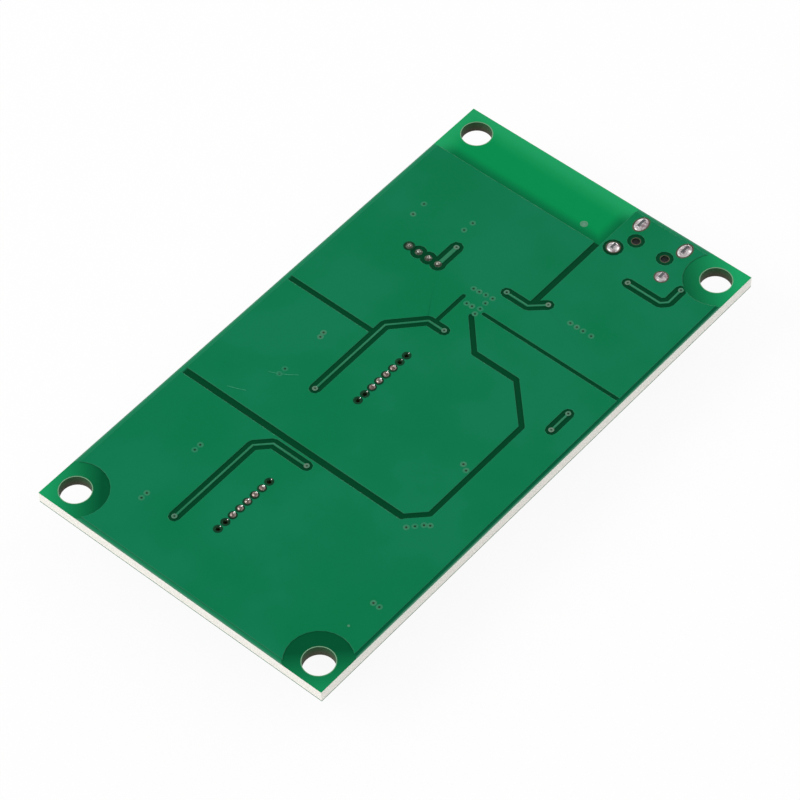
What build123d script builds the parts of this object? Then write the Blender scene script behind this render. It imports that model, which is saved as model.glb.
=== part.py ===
"""A wireless audio amplifier board, 70 x 39 mm, standing on its tall capacitors with
its solder side up. X runs along the long side, Y across, Z up, and the origin lies
under the middle of the board, at the height that the capacitors rest on."""

import math
import os

from build123d import *

os.makedirs("parts", exist_ok=True)

# Board outline and layers, in millimetres
board_length = 70.0
board_width = 39.0
board_thickness = 1.6
copper_thickness = 0.07
mask_thickness = 0.04
pad_rise = 0.03  # tinned pads stand this far out of the mask
small_round_sides = 8  # round things under 2 mm across are drawn eight-sided
clearance_round_sides = 12  # clearances about single pads and pegs
film_round_sides = 24  # the films' edges round the mounting holes

# Mounting holes
mount_hole_radius = 1.75
mount_inset = 2.7
mount_mask_gap = 0.12
mount_keepout_radius = 3.65

# Ground plane of the solder side, and the zone at its corner without copper
plane_edge_gap = 0.5
antenna_zone_length = 6.8
antenna_zone_low = -4.05
antenna_zone_left = board_length / 2 - antenna_zone_length

# Slits that split the ground plane: width, then the points of the centre line
slit_top = board_width / 2
slit_bottom = -board_width / 2 + plane_edge_gap
zone_slit_width = 0.74
zone_slit_y = antenna_zone_low + zone_slit_width / 2
plane_slits = [
    (0.8, [(-13.36, slit_top), (-13.36, -11.45)]),
    (0.64, [(-13.36, -11.45), (-11.3, -13.52), (3.45, -13.52), (7.95, -9.05)]),
    (0.74, [(7.95, -9.05), (7.95, -3.3)]),
    (0.62, [(7.95, -3.3), (11.65, 0.25)]),
    (0.66, [(3.36, slit_top), (3.36, 6.8)]),
    (0.5, [(8.4, 2.69), (13.3, 2.69)]),
    (0.45, [(12.72, -0.6), (12.72, slit_bottom)]),
    (zone_slit_width, [(16.9, zone_slit_y), (antenna_zone_left, zone_slit_y)]),
]

# Signal traces of the solder side, each from one via to another
trace_width = 0.25
trace_clearance_width = 1.35
wide_trace_width = 0.5
wide_clearance_width = 1.6
signal_traces_points = [
    [(-28.28, 6.55), (-16.25, 6.55), (-14.72, 5.02), (-14.72, 0.39)],
    [(-6.45, 6.55), (4.87, 6.55), (8.26, 3.35), (8.26, 1.17)],
    [(16.6, -0.57), (16.6, -3.5), (18.08, -5.13)],
    [(5.1, -16.14), (7.9, -16.14)],
    [(25.9, -9.75), (25.9, -14.15), (26.55, -14.8), (28.7, -14.8)],
]
wide_trace_points = [(14.95, 7.7), (18.05, 7.7)]
# A sliver of the ground plane left between a clearance and the long slit
sliver_width = 0.26
sliver_points = [(-13.9, 5.0), (-13.9, 0.9)]

# Thermal vias: a row of eight under each amplifier chip
thermal_row_count = 8
thermal_row_pitch = 1.125
thermal_row_y = 2.0
thermal_row_middles = {"left": -22.68, "right": -0.85}
thermal_open = {"left": (0, 1, 7), "right": (0, 1, 6, 7)}  # not filled with solder
thermal_drill_radius = 0.3
thermal_rim_radius = 0.5
thermal_fill_rise = 0.08

# Programming contacts: a row of four vias filled with solder
program_x = 14.95
program_top = 11.8
program_pitch = 1.36
program_count = 4
program_pad_radius = 0.47
program_clearance_radius = 0.94
program_fill_rise = 0.12

# Micro power socket at the corner, its mouth flush with the board's right edge
socket_y = -8.7
socket_width = 7.4
socket_height = 2.6
socket_length = 6.4
socket_bevel = 1.0
socket_corner = 0.35
socket_wall = 0.25
leg_thickness = 0.3
leg_rise = 0.42  # how far the legs reach above the laminate
front_leg_setback = 1.65  # from the mouth to the front legs' middle
front_leg_inset = 0.7  # from the shell's side to the front legs' middle
front_leg_length = 1.2
front_hole_length = 1.6
front_hole_width = 0.8
front_joint_length = 2.1
front_joint_width = 1.5
rear_leg_setback = 0.25  # from the shell's rear to the rear legs' middle
rear_leg_inset = 0.39
rear_leg_length = 0.8
rear_hole_radius = 0.5
rear_joint_radius = 0.75
rear_clearance_radius = 1.16
joint_height = 0.25
joint_taper = 25
peg_offset = 1.98
peg_setback = 0.55  # from the insulator's front to the pegs' middle
peg_hole_radius = 0.5
peg_clearance_radius = 0.98
peg_radius = 0.42
peg_length = 1.3
insulator_length = 3.1
tongue_width = 3.8
tongue_thickness = 0.65
tongue_depth = 0.8  # from the board's pads to the tongue
tongue_setback = 0.9  # from the mouth to the tongue's tip
contact_count = 5
contact_pitch = 0.65
contact_width = 0.3
contact_thickness = 0.2
contact_setback = 0.4  # from the tongue's tip to the contacts' tips
contact_foot = 0.8
contact_gap = 0.1  # between the insulator's rear and the contacts' upright part
contact_pad_length = 1.3

# Electrolytic capacitors, the tallest parts: the board rests on their tops
capacitor_height = 5.8
capacitor_diameter = 6.3
capacitor_base = 6.6
capacitor_base_height = 0.9
capacitor_base_chamfer = 1.3
capacitor_groove_depth = 0.3
capacitor_groove_drop = 0.95  # from the base to the groove's middle
capacitor_lead_width = 0.65
capacitor_lead_thickness = 0.25
capacitor_lead_gap = 2.0
capacitor_lead_overhang = 0.45
capacitor_pad_length = 3.2
capacitor_pad_width = 1.6
capacitor_inset = 5.3  # from the top edge to the middles of the two beside it
capacitor_row_y = board_width / 2 - capacitor_inset
capacitor_places = [
    (-24.3, capacitor_row_y), (-3.7, capacitor_row_y), (-19.5, -11.9), (22.6, -10.2),
]

# Amplifier chips, their middles over the thermal rows, with one thermal slug each
amplifier_length = 9.9
amplifier_lead_pitch = 1.27
amplifier_leads_a_side = 8
slug_length = 8.4
slug_width = 2.4

# Bodies and gull-wing leads that the amplifier and memory chips share
chip_width = 3.9
chip_height = 1.45
chip_standoff = 0.1
chip_edge = 0.18
lead_reach = 1.05
lead_foot = 0.6
lead_width = 0.42
lead_thickness = 0.2
lead_pad_length = 1.5
lead_pad_width = 0.62

# Memory chip
memory_place = (21.6, 0.2)
memory_length = 4.9
memory_leads_a_side = 4

# Radio chip, with contacts under its edges
radio_place = (21.15, 8.6)
radio_side = 6.0
radio_height = 0.85
radio_contacts_a_side = 5
radio_contact_pitch = 0.9
radio_contact_width = 0.35
radio_contact_length = 0.6
radio_contact_thickness = 0.12
radio_slug_side = 3.8
radio_pad_length = 0.9

# Crystal
crystal_inset = 3.1  # from the top edge
crystal_place = (19.65, board_width / 2 - crystal_inset)
crystal_length = 3.2
crystal_width = 2.5
crystal_base_height = 0.45
crystal_lid_height = 0.35
crystal_lid_inset = 0.2
crystal_pad_length = 1.2
crystal_pad_width = 1.0
crystal_pad_overhang = 0.18

# Printed antenna in the zone without copper
antenna_width = 0.8
antenna_inset = 1.6  # from the right edge to the turns' middle line
antenna_span = 3.1
antenna_low = -0.8
antenna_pitch = 2.1
antenna_turns = 3
antenna_feed_length = 2.3

# Voltage regulator, its tab over the column of vias
regulator_place = (14.7, -10.0)
regulator_length = 6.5
regulator_width = 3.5
regulator_height = 1.6
regulator_edge = 0.25
regulator_lead_count = 3
regulator_lead_pitch = 2.3
regulator_lead_width = 0.7
regulator_reach = 1.75
regulator_foot = 0.9
regulator_tab_width = 3.0
regulator_pad_length = 1.9
regulator_pad_margin = 0.3

# Parts with two folded end plates: length, width, height, plate width, plate rise
diode_size = (4.3, 2.6, 2.1, 1.45, 1.1)
inductor_size = (4.4, 4.2, 2.8, 2.6, 1.3)
plate_thickness = 0.18
plate_foot = 1.0
folded_edge = 0.35
folded_pad_length = 1.7
folded_pad_margin = 0.3
diode_place = (24.9, -16.4, 0)
inductor_places = [(-26.9, -5.8, 0), (-18.7, -5.8, 0), (-5.0, -5.8, 0), (3.2, -5.8, 0)]

# Ceramic capacitors, resistors and the light: length, width, height, end cap
ceramic_size = (2.0, 1.25, 0.95, 0.4)
resistor_size = (1.6, 0.8, 0.5, 0.3)
light_size = (1.6, 0.8, 0.7, 0.35)
end_cap_skin = 0.03
end_pad_reach = 0.35  # how far a pad reaches past the part's end
end_pad_inner = 0.18  # and how far in past its end cap
# Places with the angle of the long side
ceramic_places = [
    (-32.6, 7.5, 90), (-32.6, 2.0, 90), (-29.6, -10.8, 90), (-10.0, 7.6, 90),
    (-8.8, -10.6, 90), (-1.0, -11.0, 90), (7.6, 14.8, 0), (10.3, -5.0, 90),
    (25.6, 16.4, 90), (16.6, 3.6, 90),
]
resistor_places = [
    (-32.6, -3.4, 90), (6.6, 8.6, 90), (-10.4, -1.6, 90), (7.6, 12.2, 0),
    (26.2, 10.2, 90), (26.4, 3.0, 90), (10.1, -14.2, 90), (24.0, 14.0, 0),
]
light_inset = 1.6  # from the bottom edge
light_place = (11.2, -board_width / 2 + light_inset, 0)

# Wire pads along the bottom edge: their places along X
wire_pad_length = 2.4
wire_pad_width = 3.0
wire_pad_inset = 2.1
wire_pad_y = -board_width / 2 + wire_pad_inset
wire_pad_columns = [-26.79, -23.49, -20.19, -8.0, -4.7, -1.4, 15.6, 19.2]

# Pours of copper on the component side, between the parts: left, right, bottom, top
component_pours = [
    (-20.6, -14.4, 6.2, 18.9), (-34.4, -29.2, 9.2, 12.6), (-34.4, -31.2, -12.6, -5.4),
    (-15.6, -10.6, -18.9, -4.0), (-11.8, -7.6, 9.6, 18.9), (0.4, 4.9, 6.2, 18.9),
    (3.8, 8.6, -18.9, -8.6), (9.0, 13.6, -2.6, 10.6), (12.4, 17.2, 12.0, 18.9),
]

# Heights of the layers, worked out from the sizes above
pad_face = capacitor_height
front_mask_face = pad_face + pad_rise
core_low = front_mask_face + mask_thickness + copper_thickness
laminate_thickness = board_thickness - 2 * (copper_thickness + mask_thickness)
core_top = core_low + laminate_thickness
copper_top = core_top + copper_thickness
mask_top = copper_top + mask_thickness
pad_thickness = core_low - pad_face

# Places worked out from the sizes above
mount_spacing_x = board_length - 2 * mount_inset
mount_spacing_y = board_width - 2 * mount_inset
mount_places = [
    (x * mount_spacing_x / 2, y * mount_spacing_y / 2) for x in (-1, 1) for y in (-1, 1)
]
program_places = [
    (program_x, program_top - step * program_pitch) for step in range(program_count)
]
socket_rear = board_length / 2 - socket_length
rear_leg_x = socket_rear + rear_leg_setback
rear_leg_offset = socket_width / 2 - rear_leg_inset
rear_leg_places = [(rear_leg_x, socket_y + side * rear_leg_offset) for side in (-1, 1)]
front_leg_x = board_length / 2 - front_leg_setback
front_leg_offset = socket_width / 2 - front_leg_inset
front_leg_places = [(front_leg_x, socket_y + side * front_leg_offset) for side in (-1, 1)]
peg_x = socket_rear + insulator_length - peg_setback
peg_places = [(peg_x, socket_y + side * peg_offset) for side in (-1, 1)]


def spread(count, pitch):
    """Evenly spaced offsets about zero."""
    return [(step - (count - 1) / 2) * pitch for step in range(count)]


def thermal_places(are_open):
    """Places of the open or of the filled vias in both thermal rows."""
    return [
        (middle + offset, thermal_row_y)
        for side, middle in thermal_row_middles.items()
        for step, offset in enumerate(spread(thermal_row_count, thermal_row_pitch))
        if (step in thermal_open[side]) == are_open
    ]


open_vias = thermal_places(True)
filled_vias = thermal_places(False)


def finish(piece, name):
    """Label a finished piece and write it to its own file."""
    piece.part.label = name
    export_step(piece.part, f"parts/{name}.step")


def dot(radius, mode=Mode.ADD):
    """A small round shape."""
    RegularPolygon(radius, small_round_sides, mode=mode)


def stroke(points, width, mode=Mode.ADD):
    """A line of the given width through the points, with round ends."""
    with Locations(*points):
        dot(width / 2, mode)
    for start, end in zip(points, points[1:]):
        run = Vector(*end) - Vector(*start)
        middle = (Vector(*end) + Vector(*start)) * 0.5
        with Locations((middle.X, middle.Y)):
            angle = math.degrees(math.atan2(run.Y, run.X))
            Rectangle(run.length, width, rotation=angle, mode=mode)


def oval(place, length, width, mode=Mode.ADD):
    """A shape with round ends along X, with its middle at the place."""
    reach = (length - width) / 2
    stroke([(place[0] - reach, place[1]), (place[0] + reach, place[1])], width, mode)


# Laminate
with BuildPart() as laminate:
    with BuildSketch(Plane.XY.offset(core_low)):
        Rectangle(board_length, board_width)
        with Locations(*mount_places):
            Circle(mount_hole_radius, mode=Mode.SUBTRACT)
        with Locations(*open_vias):
            dot(thermal_drill_radius, Mode.SUBTRACT)
        with Locations(*rear_leg_places):
            dot(rear_hole_radius, Mode.SUBTRACT)
        for place in front_leg_places:
            oval(place, front_hole_length, front_hole_width, Mode.SUBTRACT)
        with Locations(*peg_places):
            dot(peg_hole_radius, Mode.SUBTRACT)
    extrude(amount=laminate_thickness)
finish(laminate, "laminate")


def ground_plane_area():
    """Ground copper of the solder side, with its slits and clearances."""
    Rectangle(board_length - 2 * plane_edge_gap, board_width - 2 * plane_edge_gap)
    with Locations(*mount_places):
        RegularPolygon(mount_keepout_radius, film_round_sides, mode=Mode.SUBTRACT)
    with Locations((antenna_zone_left, antenna_zone_low)):
        corner = (Align.MIN, Align.MIN)
        Rectangle(board_length, board_width, align=corner, mode=Mode.SUBTRACT)
    for width, points in plane_slits:
        stroke(points, width, Mode.SUBTRACT)
    for points in signal_traces_points:
        stroke(points, trace_clearance_width, Mode.SUBTRACT)
    stroke(wide_trace_points, wide_clearance_width, Mode.SUBTRACT)
    for places, radius in (
        (program_places[1:], program_clearance_radius),
        (peg_places, peg_clearance_radius),
        (rear_leg_places[1:], rear_clearance_radius),
    ):
        with Locations(*places):
            RegularPolygon(radius, clearance_round_sides, mode=Mode.SUBTRACT)
    stroke(sliver_points, sliver_width)


def signal_trace_area():
    """Traces of the solder side, and the pads that stand in their own clearances."""
    for points in signal_traces_points:
        stroke(points, trace_width)
    stroke(wide_trace_points, wide_trace_width)
    with Locations(*program_places[1:]):
        dot(program_pad_radius)
    with Locations(rear_leg_places[1]):
        dot(rear_joint_radius)


# Ground plane of the solder side, drilled where vias and legs pass
with BuildPart() as ground_plane:
    with BuildSketch(Plane.XY.offset(core_top)):
        ground_plane_area()
        with Locations(*open_vias):
            dot(thermal_drill_radius, Mode.SUBTRACT)
        with Locations(rear_leg_places[0]):
            dot(rear_hole_radius, Mode.SUBTRACT)
        for place in front_leg_places:
            oval(place, front_hole_length, front_hole_width, Mode.SUBTRACT)
    extrude(amount=copper_thickness)
finish(ground_plane, "ground_plane")

# Signal traces of the solder side
with BuildPart() as signal_traces:
    with BuildSketch(Plane.XY.offset(core_top)):
        signal_trace_area()
        with Locations(rear_leg_places[1]):
            dot(rear_hole_radius, Mode.SUBTRACT)
    extrude(amount=copper_thickness)
finish(signal_traces, "signal_traces")

# Solder mask over the copper of the solder side, open over what is soldered. It
# shows every slit and clearance; the film on the bare laminate is left to the finish
with BuildPart() as solder_side_mask:
    with BuildSketch(Plane.XY.offset(copper_top)):
        ground_plane_area()
        signal_trace_area()
        with Locations(*open_vias, *filled_vias):
            dot(thermal_rim_radius, Mode.SUBTRACT)
        with Locations(*program_places):
            dot(program_pad_radius, Mode.SUBTRACT)
        with Locations(*rear_leg_places):
            dot(rear_joint_radius, Mode.SUBTRACT)
        for place in front_leg_places:
            oval(place, front_joint_length, front_joint_width, Mode.SUBTRACT)
    extrude(amount=mask_thickness)
finish(solder_side_mask, "solder_side_mask")

# Tinned rims of the open thermal vias
with BuildPart() as thermal_rims:
    with BuildSketch(Plane.XY.offset(copper_top)):
        with Locations(*open_vias):
            dot(thermal_rim_radius)
            dot(thermal_drill_radius, Mode.SUBTRACT)
    extrude(amount=mask_thickness)
finish(thermal_rims, "thermal_rims")

# Solder that has filled the other thermal vias
with BuildPart() as thermal_solder:
    with BuildSketch(Plane.XY.offset(copper_top)):
        with Locations(*filled_vias):
            dot(thermal_rim_radius)
    extrude(amount=mask_thickness + thermal_fill_rise)
finish(thermal_solder, "thermal_solder")

# Solder on the row of programming contacts
with BuildPart() as programming_solder:
    with BuildSketch(Plane.XY.offset(copper_top)):
        with Locations(*program_places):
            dot(program_pad_radius)
    extrude(amount=mask_thickness + program_fill_rise)
finish(programming_solder, "programming_solder")


def pad_pair(place, reach, length, width):
    """Two pads either side of a place, along the direction of its angle."""
    x, y, angle = place
    step = Vector(reach, 0).rotate(Axis.Z, angle)
    sizes = (length, width) if angle == 0 else (width, length)
    return [(x + side * step.X, y + side * step.Y, *sizes) for side in (-1, 1)]


def end_cap_pads(place, size):
    """Pads of a small part with end caps, reaching past its ends."""
    length, width, height, cap = size
    pad_length = cap + end_pad_reach + end_pad_inner
    reach = length / 2 + end_pad_reach - pad_length / 2
    return pad_pair(place, reach, pad_length, width)


def folded_pads(place, size):
    """Pads of a part with folded end plates."""
    length, width, height, plate_width, plate_rise = size
    reach = length / 2 + plate_thickness + folded_pad_margin - folded_pad_length / 2
    return pad_pair(place, reach, folded_pad_length, plate_width + folded_pad_margin)


def capacitor_pads(x, y):
    """Pads of an electrolytic capacitor, above and below its middle."""
    reach = capacitor_base / 2 + capacitor_lead_overhang + end_pad_reach
    reach = reach - capacitor_pad_length / 2
    return pad_pair((x, y, 90), reach, capacitor_pad_length, capacitor_pad_width)


def window_over(pads):
    """One window of the mask that takes in all of a part's pads."""
    left = min(x - length / 2 for x, y, length, width in pads)
    right = max(x + length / 2 for x, y, length, width in pads)
    low = min(y - width / 2 for x, y, length, width in pads)
    high = max(y + width / 2 for x, y, length, width in pads)
    return ((left + right) / 2, (low + high) / 2, right - left, high - low)


def lead_pads(place, count, pitch):
    """Pads of a chip with leads above and below its middle."""
    reach = chip_width / 2 + lead_reach - lead_foot / 2
    return [
        pad
        for offset in spread(count, pitch)
        for pad in pad_pair(
            (place[0] + offset, place[1], 90), reach, lead_pad_length, lead_pad_width
        )
    ]


def lead_windows(place, count, pitch):
    """Windows of the mask, one along each row of a chip's leads."""
    reach = chip_width / 2 + lead_reach - lead_foot / 2
    window = (lead_pad_length, (count - 1) * pitch + lead_pad_width)
    return pad_pair((*place, 90), reach, *window)


radio_contact_reach = radio_side / 2 - radio_contact_length / 2
radio_pad_reach = radio_side / 2 - radio_contact_length + radio_pad_length / 2
radio_row_width = (radio_contacts_a_side - 1) * radio_contact_pitch + radio_contact_width
amplifier_places = {side: (x, thermal_row_y) for side, x in thermal_row_middles.items()}
amplifier_row = (amplifier_leads_a_side, amplifier_lead_pitch)
memory_row = (memory_leads_a_side, amplifier_lead_pitch)
radio_offsets = spread(radio_contacts_a_side, radio_contact_pitch)
contact_offsets = spread(contact_count, contact_pitch)
crystal_reach = (crystal_length - crystal_pad_length) / 2 + crystal_pad_overhang
contact_upright_x = socket_rear - contact_gap - contact_thickness
contact_pad_x = contact_upright_x - contact_foot + contact_pad_length / 2
regulator_lead_x = regulator_width / 2 + regulator_reach
regulator_pad_x = regulator_lead_x + regulator_pad_margin - regulator_pad_length / 2
crystal_sides = spread(2, crystal_width - crystal_pad_width)

# Each pad is its middle along X and Y, then its size along X and Y
part_pads = [
    *(capacitor_pads(*place) for place in capacitor_places),
    *(folded_pads(place, inductor_size) for place in inductor_places),
    folded_pads(diode_place, diode_size),
    *(end_cap_pads(place, ceramic_size) for place in ceramic_places),
    *(end_cap_pads(place, resistor_size) for place in resistor_places),
    end_cap_pads(light_place, light_size),
    [
        pad
        for offset in crystal_sides
        for pad in pad_pair(
            (crystal_place[0], crystal_place[1] + offset, 0),
            crystal_reach,
            crystal_pad_length,
            crystal_pad_width,
        )
    ],
]
single_pads = [
    *((x, wire_pad_y, wire_pad_length, wire_pad_width) for x in wire_pad_columns),
    *((x, y, slug_length, slug_width) for x, y in amplifier_places.values()),
    (*radio_place, radio_slug_side, radio_slug_side),
    *(
        (
            regulator_place[0] - regulator_pad_x,
            regulator_place[1] + offset,
            regulator_pad_length,
            regulator_lead_width + regulator_pad_margin,
        )
        for offset in spread(regulator_lead_count, regulator_lead_pitch)
    ),
    (
        regulator_place[0] + regulator_pad_x,
        regulator_place[1],
        regulator_pad_length,
        regulator_tab_width + regulator_pad_margin,
    ),
]
row_pads = [
    *(pad for p in amplifier_places.values() for pad in lead_pads(p, *amplifier_row)),
    *lead_pads(memory_place, *memory_row),
    *(
        pad
        for offset in radio_offsets
        for angle, place in (
            (0, (radio_place[0], radio_place[1] + offset)),
            (90, (radio_place[0] + offset, radio_place[1])),
        )
        for pad in pad_pair(
            (*place, angle), radio_pad_reach, radio_pad_length, radio_contact_width
        )
    ),
    *(
        (contact_pad_x, socket_y + offset, contact_pad_length, contact_width)
        for offset in contact_offsets
    ),
]
row_windows = [
    *(w for p in amplifier_places.values() for w in lead_windows(p, *amplifier_row)),
    *lead_windows(memory_place, *memory_row),
    *(
        window
        for angle in (0, 90)
        for window in pad_pair(
            (*radio_place, angle), radio_pad_reach, radio_pad_length, radio_row_width
        )
    ),
    (
        contact_pad_x,
        socket_y,
        contact_pad_length,
        (contact_count - 1) * contact_pitch + contact_width,
    ),
]


def rectangles(rows, mode=Mode.ADD):
    """Rectangles given by their middles and sizes."""
    for x, y, length, width in rows:
        with Locations((x, y)):
            Rectangle(length, width, mode=mode)


# Tinned pads of the component side, the wire pads among them
with BuildPart() as component_pads:
    with BuildSketch(Plane.XY.offset(pad_face)):
        for pads in part_pads:
            rectangles(pads)
        rectangles(single_pads)
        rectangles(row_pads)
    extrude(amount=pad_thickness)
finish(component_pads, "component_pads")

# Pours of copper on the component side
with BuildPart() as component_copper:
    with BuildSketch(Plane.XY.offset(core_low - copper_thickness)):
        for left, right, low, high in component_pours:
            with Locations(((left + right) / 2, (low + high) / 2)):
                Rectangle(right - left, high - low)
    extrude(amount=copper_thickness)
finish(component_copper, "component_copper")

# Printed antenna: one line to and fro, with its feed from the radio chip's side
antenna_right = board_length / 2 - antenna_inset
antenna_left = antenna_right - antenna_span
antenna_points = [(antenna_left, antenna_low)]
for turn in range(antenna_turns):
    low = antenna_low + 2 * turn * antenna_pitch
    antenna_points += [
        (antenna_right, low),
        (antenna_right, low + antenna_pitch),
        (antenna_left, low + antenna_pitch),
        (antenna_left, low + 2 * antenna_pitch),
    ]
with BuildPart() as printed_antenna:
    with BuildSketch(Plane.XY.offset(core_low - copper_thickness)):
        stroke(antenna_points, antenna_width)
        feed_y = antenna_low + antenna_pitch
        feed_start = (antenna_left - antenna_feed_length, feed_y)
        stroke([feed_start, (antenna_left, feed_y)], antenna_width)
    extrude(amount=copper_thickness)
finish(printed_antenna, "printed_antenna")

# Solder mask of the component side
with BuildPart() as component_side_mask:
    with BuildSketch(Plane.XY.offset(front_mask_face)):
        Rectangle(board_length, board_width)
        rectangles([window_over(pads) for pads in part_pads], Mode.SUBTRACT)
        rectangles(single_pads, Mode.SUBTRACT)
        rectangles(row_windows, Mode.SUBTRACT)
        with Locations(*mount_places):
            edge_radius = mount_hole_radius + mount_mask_gap
            RegularPolygon(edge_radius, film_round_sides, mode=Mode.SUBTRACT)
        with Locations(*rear_leg_places):
            dot(rear_hole_radius, Mode.SUBTRACT)
        for place in front_leg_places:
            oval(place, front_hole_length, front_hole_width, Mode.SUBTRACT)
        with Locations(*peg_places):
            dot(peg_hole_radius, Mode.SUBTRACT)
    extrude(amount=mask_thickness)
finish(component_side_mask, "component_side_mask")


# The socket's shell stands on the pads' level and hangs below the board
def shell_depth(offset):
    """How far below its board face the shell's bevel lies, at an offset across it."""
    return offset - (socket_width / 2 - socket_bevel)


def shell_outline():
    """The socket's outer section, in a plane across it."""
    half = socket_width / 2
    low = pad_face - socket_height
    with BuildLine() as outline:
        Polyline(
            (socket_y - half + socket_corner, low),
            (socket_y + half - socket_corner, low),
            (socket_y + half, low + socket_corner),
            (socket_y + half, pad_face - socket_bevel),
            (socket_y + half - socket_bevel, pad_face),
            (socket_y - half + socket_bevel, pad_face),
            (socket_y - half, pad_face - socket_bevel),
            (socket_y - half, low + socket_corner),
            close=True,
        )
    make_face(outline.edges())


def legs():
    """The four legs that run from the shell's bevels up through the board."""
    for places, offset, length in (
        (rear_leg_places, rear_leg_offset, rear_leg_length),
        (front_leg_places, front_leg_offset, front_leg_length),
    ):
        low = pad_face - shell_depth(offset) - leg_thickness / 2
        with BuildSketch(Plane.XY.offset(low)) as section:
            with Locations(*places):
                Rectangle(length, leg_thickness)
        extrude(section.sketch, amount=core_top + leg_rise - low)


with BuildPart() as socket_shell:
    with BuildSketch(Plane.YZ.offset(socket_rear)):
        shell_outline()
        offset(amount=-socket_wall, kind=Kind.INTERSECTION, mode=Mode.SUBTRACT)
    extrude(amount=socket_length)
    with BuildSketch(Plane.XY.offset(pad_face - socket_wall)):
        with Locations(*peg_places):
            dot(peg_hole_radius)
    extrude(amount=socket_wall, mode=Mode.SUBTRACT)
    legs()
finish(socket_shell, "socket_shell")

# Contacts: a foot on its pad, an upright part and a blade along the tongue
tongue_face = pad_face - tongue_depth - tongue_thickness
tongue_tip = board_length / 2 - tongue_setback


def contact_outline():
    """Side view of one contact."""
    upright = contact_upright_x
    with BuildLine() as outline:
        Polyline(
            (upright - contact_foot, pad_face),
            (upright + contact_thickness, pad_face),
            (upright + contact_thickness, tongue_face),
            (tongue_tip - contact_setback, tongue_face),
            (tongue_tip - contact_setback, tongue_face - contact_thickness),
            (upright, tongue_face - contact_thickness),
            (upright, pad_face - contact_thickness),
            (upright - contact_foot, pad_face - contact_thickness),
            close=True,
        )
    make_face(outline.edges())


with BuildPart() as socket_contacts:
    for contact_offset in contact_offsets:
        side = socket_y + contact_offset + contact_width / 2
        with BuildSketch(Plane.XZ.offset(-side)):
            contact_outline()
        extrude(amount=contact_width)
finish(socket_contacts, "socket_contacts")

# Insulator: a block that fills the shell's rear, the tongue, and two pegs
with BuildPart() as socket_insulator:
    with BuildSketch(Plane.YZ.offset(socket_rear)):
        shell_outline()
        offset(amount=-socket_wall, kind=Kind.INTERSECTION, mode=Mode.REPLACE)
    extrude(amount=insulator_length)
    with BuildSketch(Plane.YZ.offset(socket_rear)):
        with Locations((socket_y, tongue_face + tongue_thickness / 2)):
            Rectangle(tongue_width, tongue_thickness)
    extrude(amount=tongue_tip - socket_rear)
    with BuildSketch(Plane.XY.offset(pad_face - socket_wall)):
        with Locations(*peg_places):
            dot(peg_radius)
    extrude(amount=socket_wall + pad_thickness + peg_length)
    for contact_offset in contact_offsets:
        side = socket_y + contact_offset + contact_width / 2
        with BuildSketch(Plane.XZ.offset(-side)):
            contact_outline()
        extrude(amount=contact_width, mode=Mode.SUBTRACT)
finish(socket_insulator, "socket_insulator")

# Solder joints of the legs: a mound on the ground plane, and the filled hole
with BuildPart() as socket_joints:
    with BuildSketch(Plane.XY.offset(copper_top)):
        with Locations(*rear_leg_places):
            dot(rear_joint_radius)
        for place in front_leg_places:
            oval(place, front_joint_length, front_joint_width)
    extrude(amount=joint_height, taper=joint_taper)
    with BuildSketch(Plane.XY.offset(core_low)):
        with Locations(*rear_leg_places):
            dot(rear_hole_radius)
        for place in front_leg_places:
            oval(place, front_hole_length, front_hole_width)
    extrude(amount=laminate_thickness + copper_thickness)
    for places, length in (
        (rear_leg_places, rear_leg_length),
        (front_leg_places, front_leg_length),
    ):
        with BuildSketch(Plane.XY.offset(core_low)):
            with Locations(*places):
                Rectangle(length, leg_thickness)
        extrude(amount=board_thickness + joint_height, mode=Mode.SUBTRACT)
finish(socket_joints, "socket_joints")

# Electrolytic capacitors: base, can and leads of each
can_length = capacitor_height - capacitor_base_height
lead_end = capacitor_base / 2 + capacitor_lead_overhang
lead_length = lead_end - capacitor_lead_gap / 2
for number, (x, y) in enumerate(capacitor_places, start=1):
    lead_places = [
        (x, y + side * (capacitor_lead_gap + lead_length) / 2) for side in (-1, 1)
    ]
    with BuildPart() as capacitor_leads:
        with BuildSketch(Plane.XY.offset(pad_face - capacitor_lead_thickness)):
            with Locations(*lead_places):
                Rectangle(capacitor_lead_width, lead_length)
        extrude(amount=capacitor_lead_thickness)
    finish(capacitor_leads, f"capacitor_{number}_leads")

    with BuildPart() as capacitor_foot:
        with BuildSketch(Plane.XY.offset(can_length)):
            with Locations((x, y)):
                square = Rectangle(capacitor_base, capacitor_base)
            corners = square.vertices().sort_by(Axis.Y)[-2:]
            chamfer(corners, capacitor_base_chamfer)
        extrude(amount=capacitor_base_height)
        add(capacitor_leads.part, mode=Mode.SUBTRACT)
    finish(capacitor_foot, f"capacitor_{number}_base")

    radius = capacitor_diameter / 2
    groove = can_length - capacitor_groove_drop
    with BuildPart() as capacitor_can:
        with BuildSketch(Plane.XZ.offset(-y)):
            with BuildLine():
                Polyline(
                    (x, 0),
                    (x + radius, 0),
                    (x + radius, groove - capacitor_groove_depth),
                    (x + radius - capacitor_groove_depth, groove),
                    (x + radius, groove + capacitor_groove_depth),
                    (x + radius, can_length),
                    (x, can_length),
                    close=True,
                )
            make_face()
        revolve(axis=Axis((x, y, 0), (0, 0, 1)))
    finish(capacitor_can, f"capacitor_{number}_can")


def chip_body(place, length):
    """A moulded chip body, its outer edges bevelled, hanging clear of its pads."""
    with BuildSketch(Plane.XY.offset(pad_face - chip_standoff)) as outline:
        with Locations(place):
            Rectangle(length, chip_width)
    extrude(outline.sketch, amount=chip_standoff - chip_height)
    chamfer(faces().sort_by(Axis.Z)[0].edges(), chip_edge)


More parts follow.
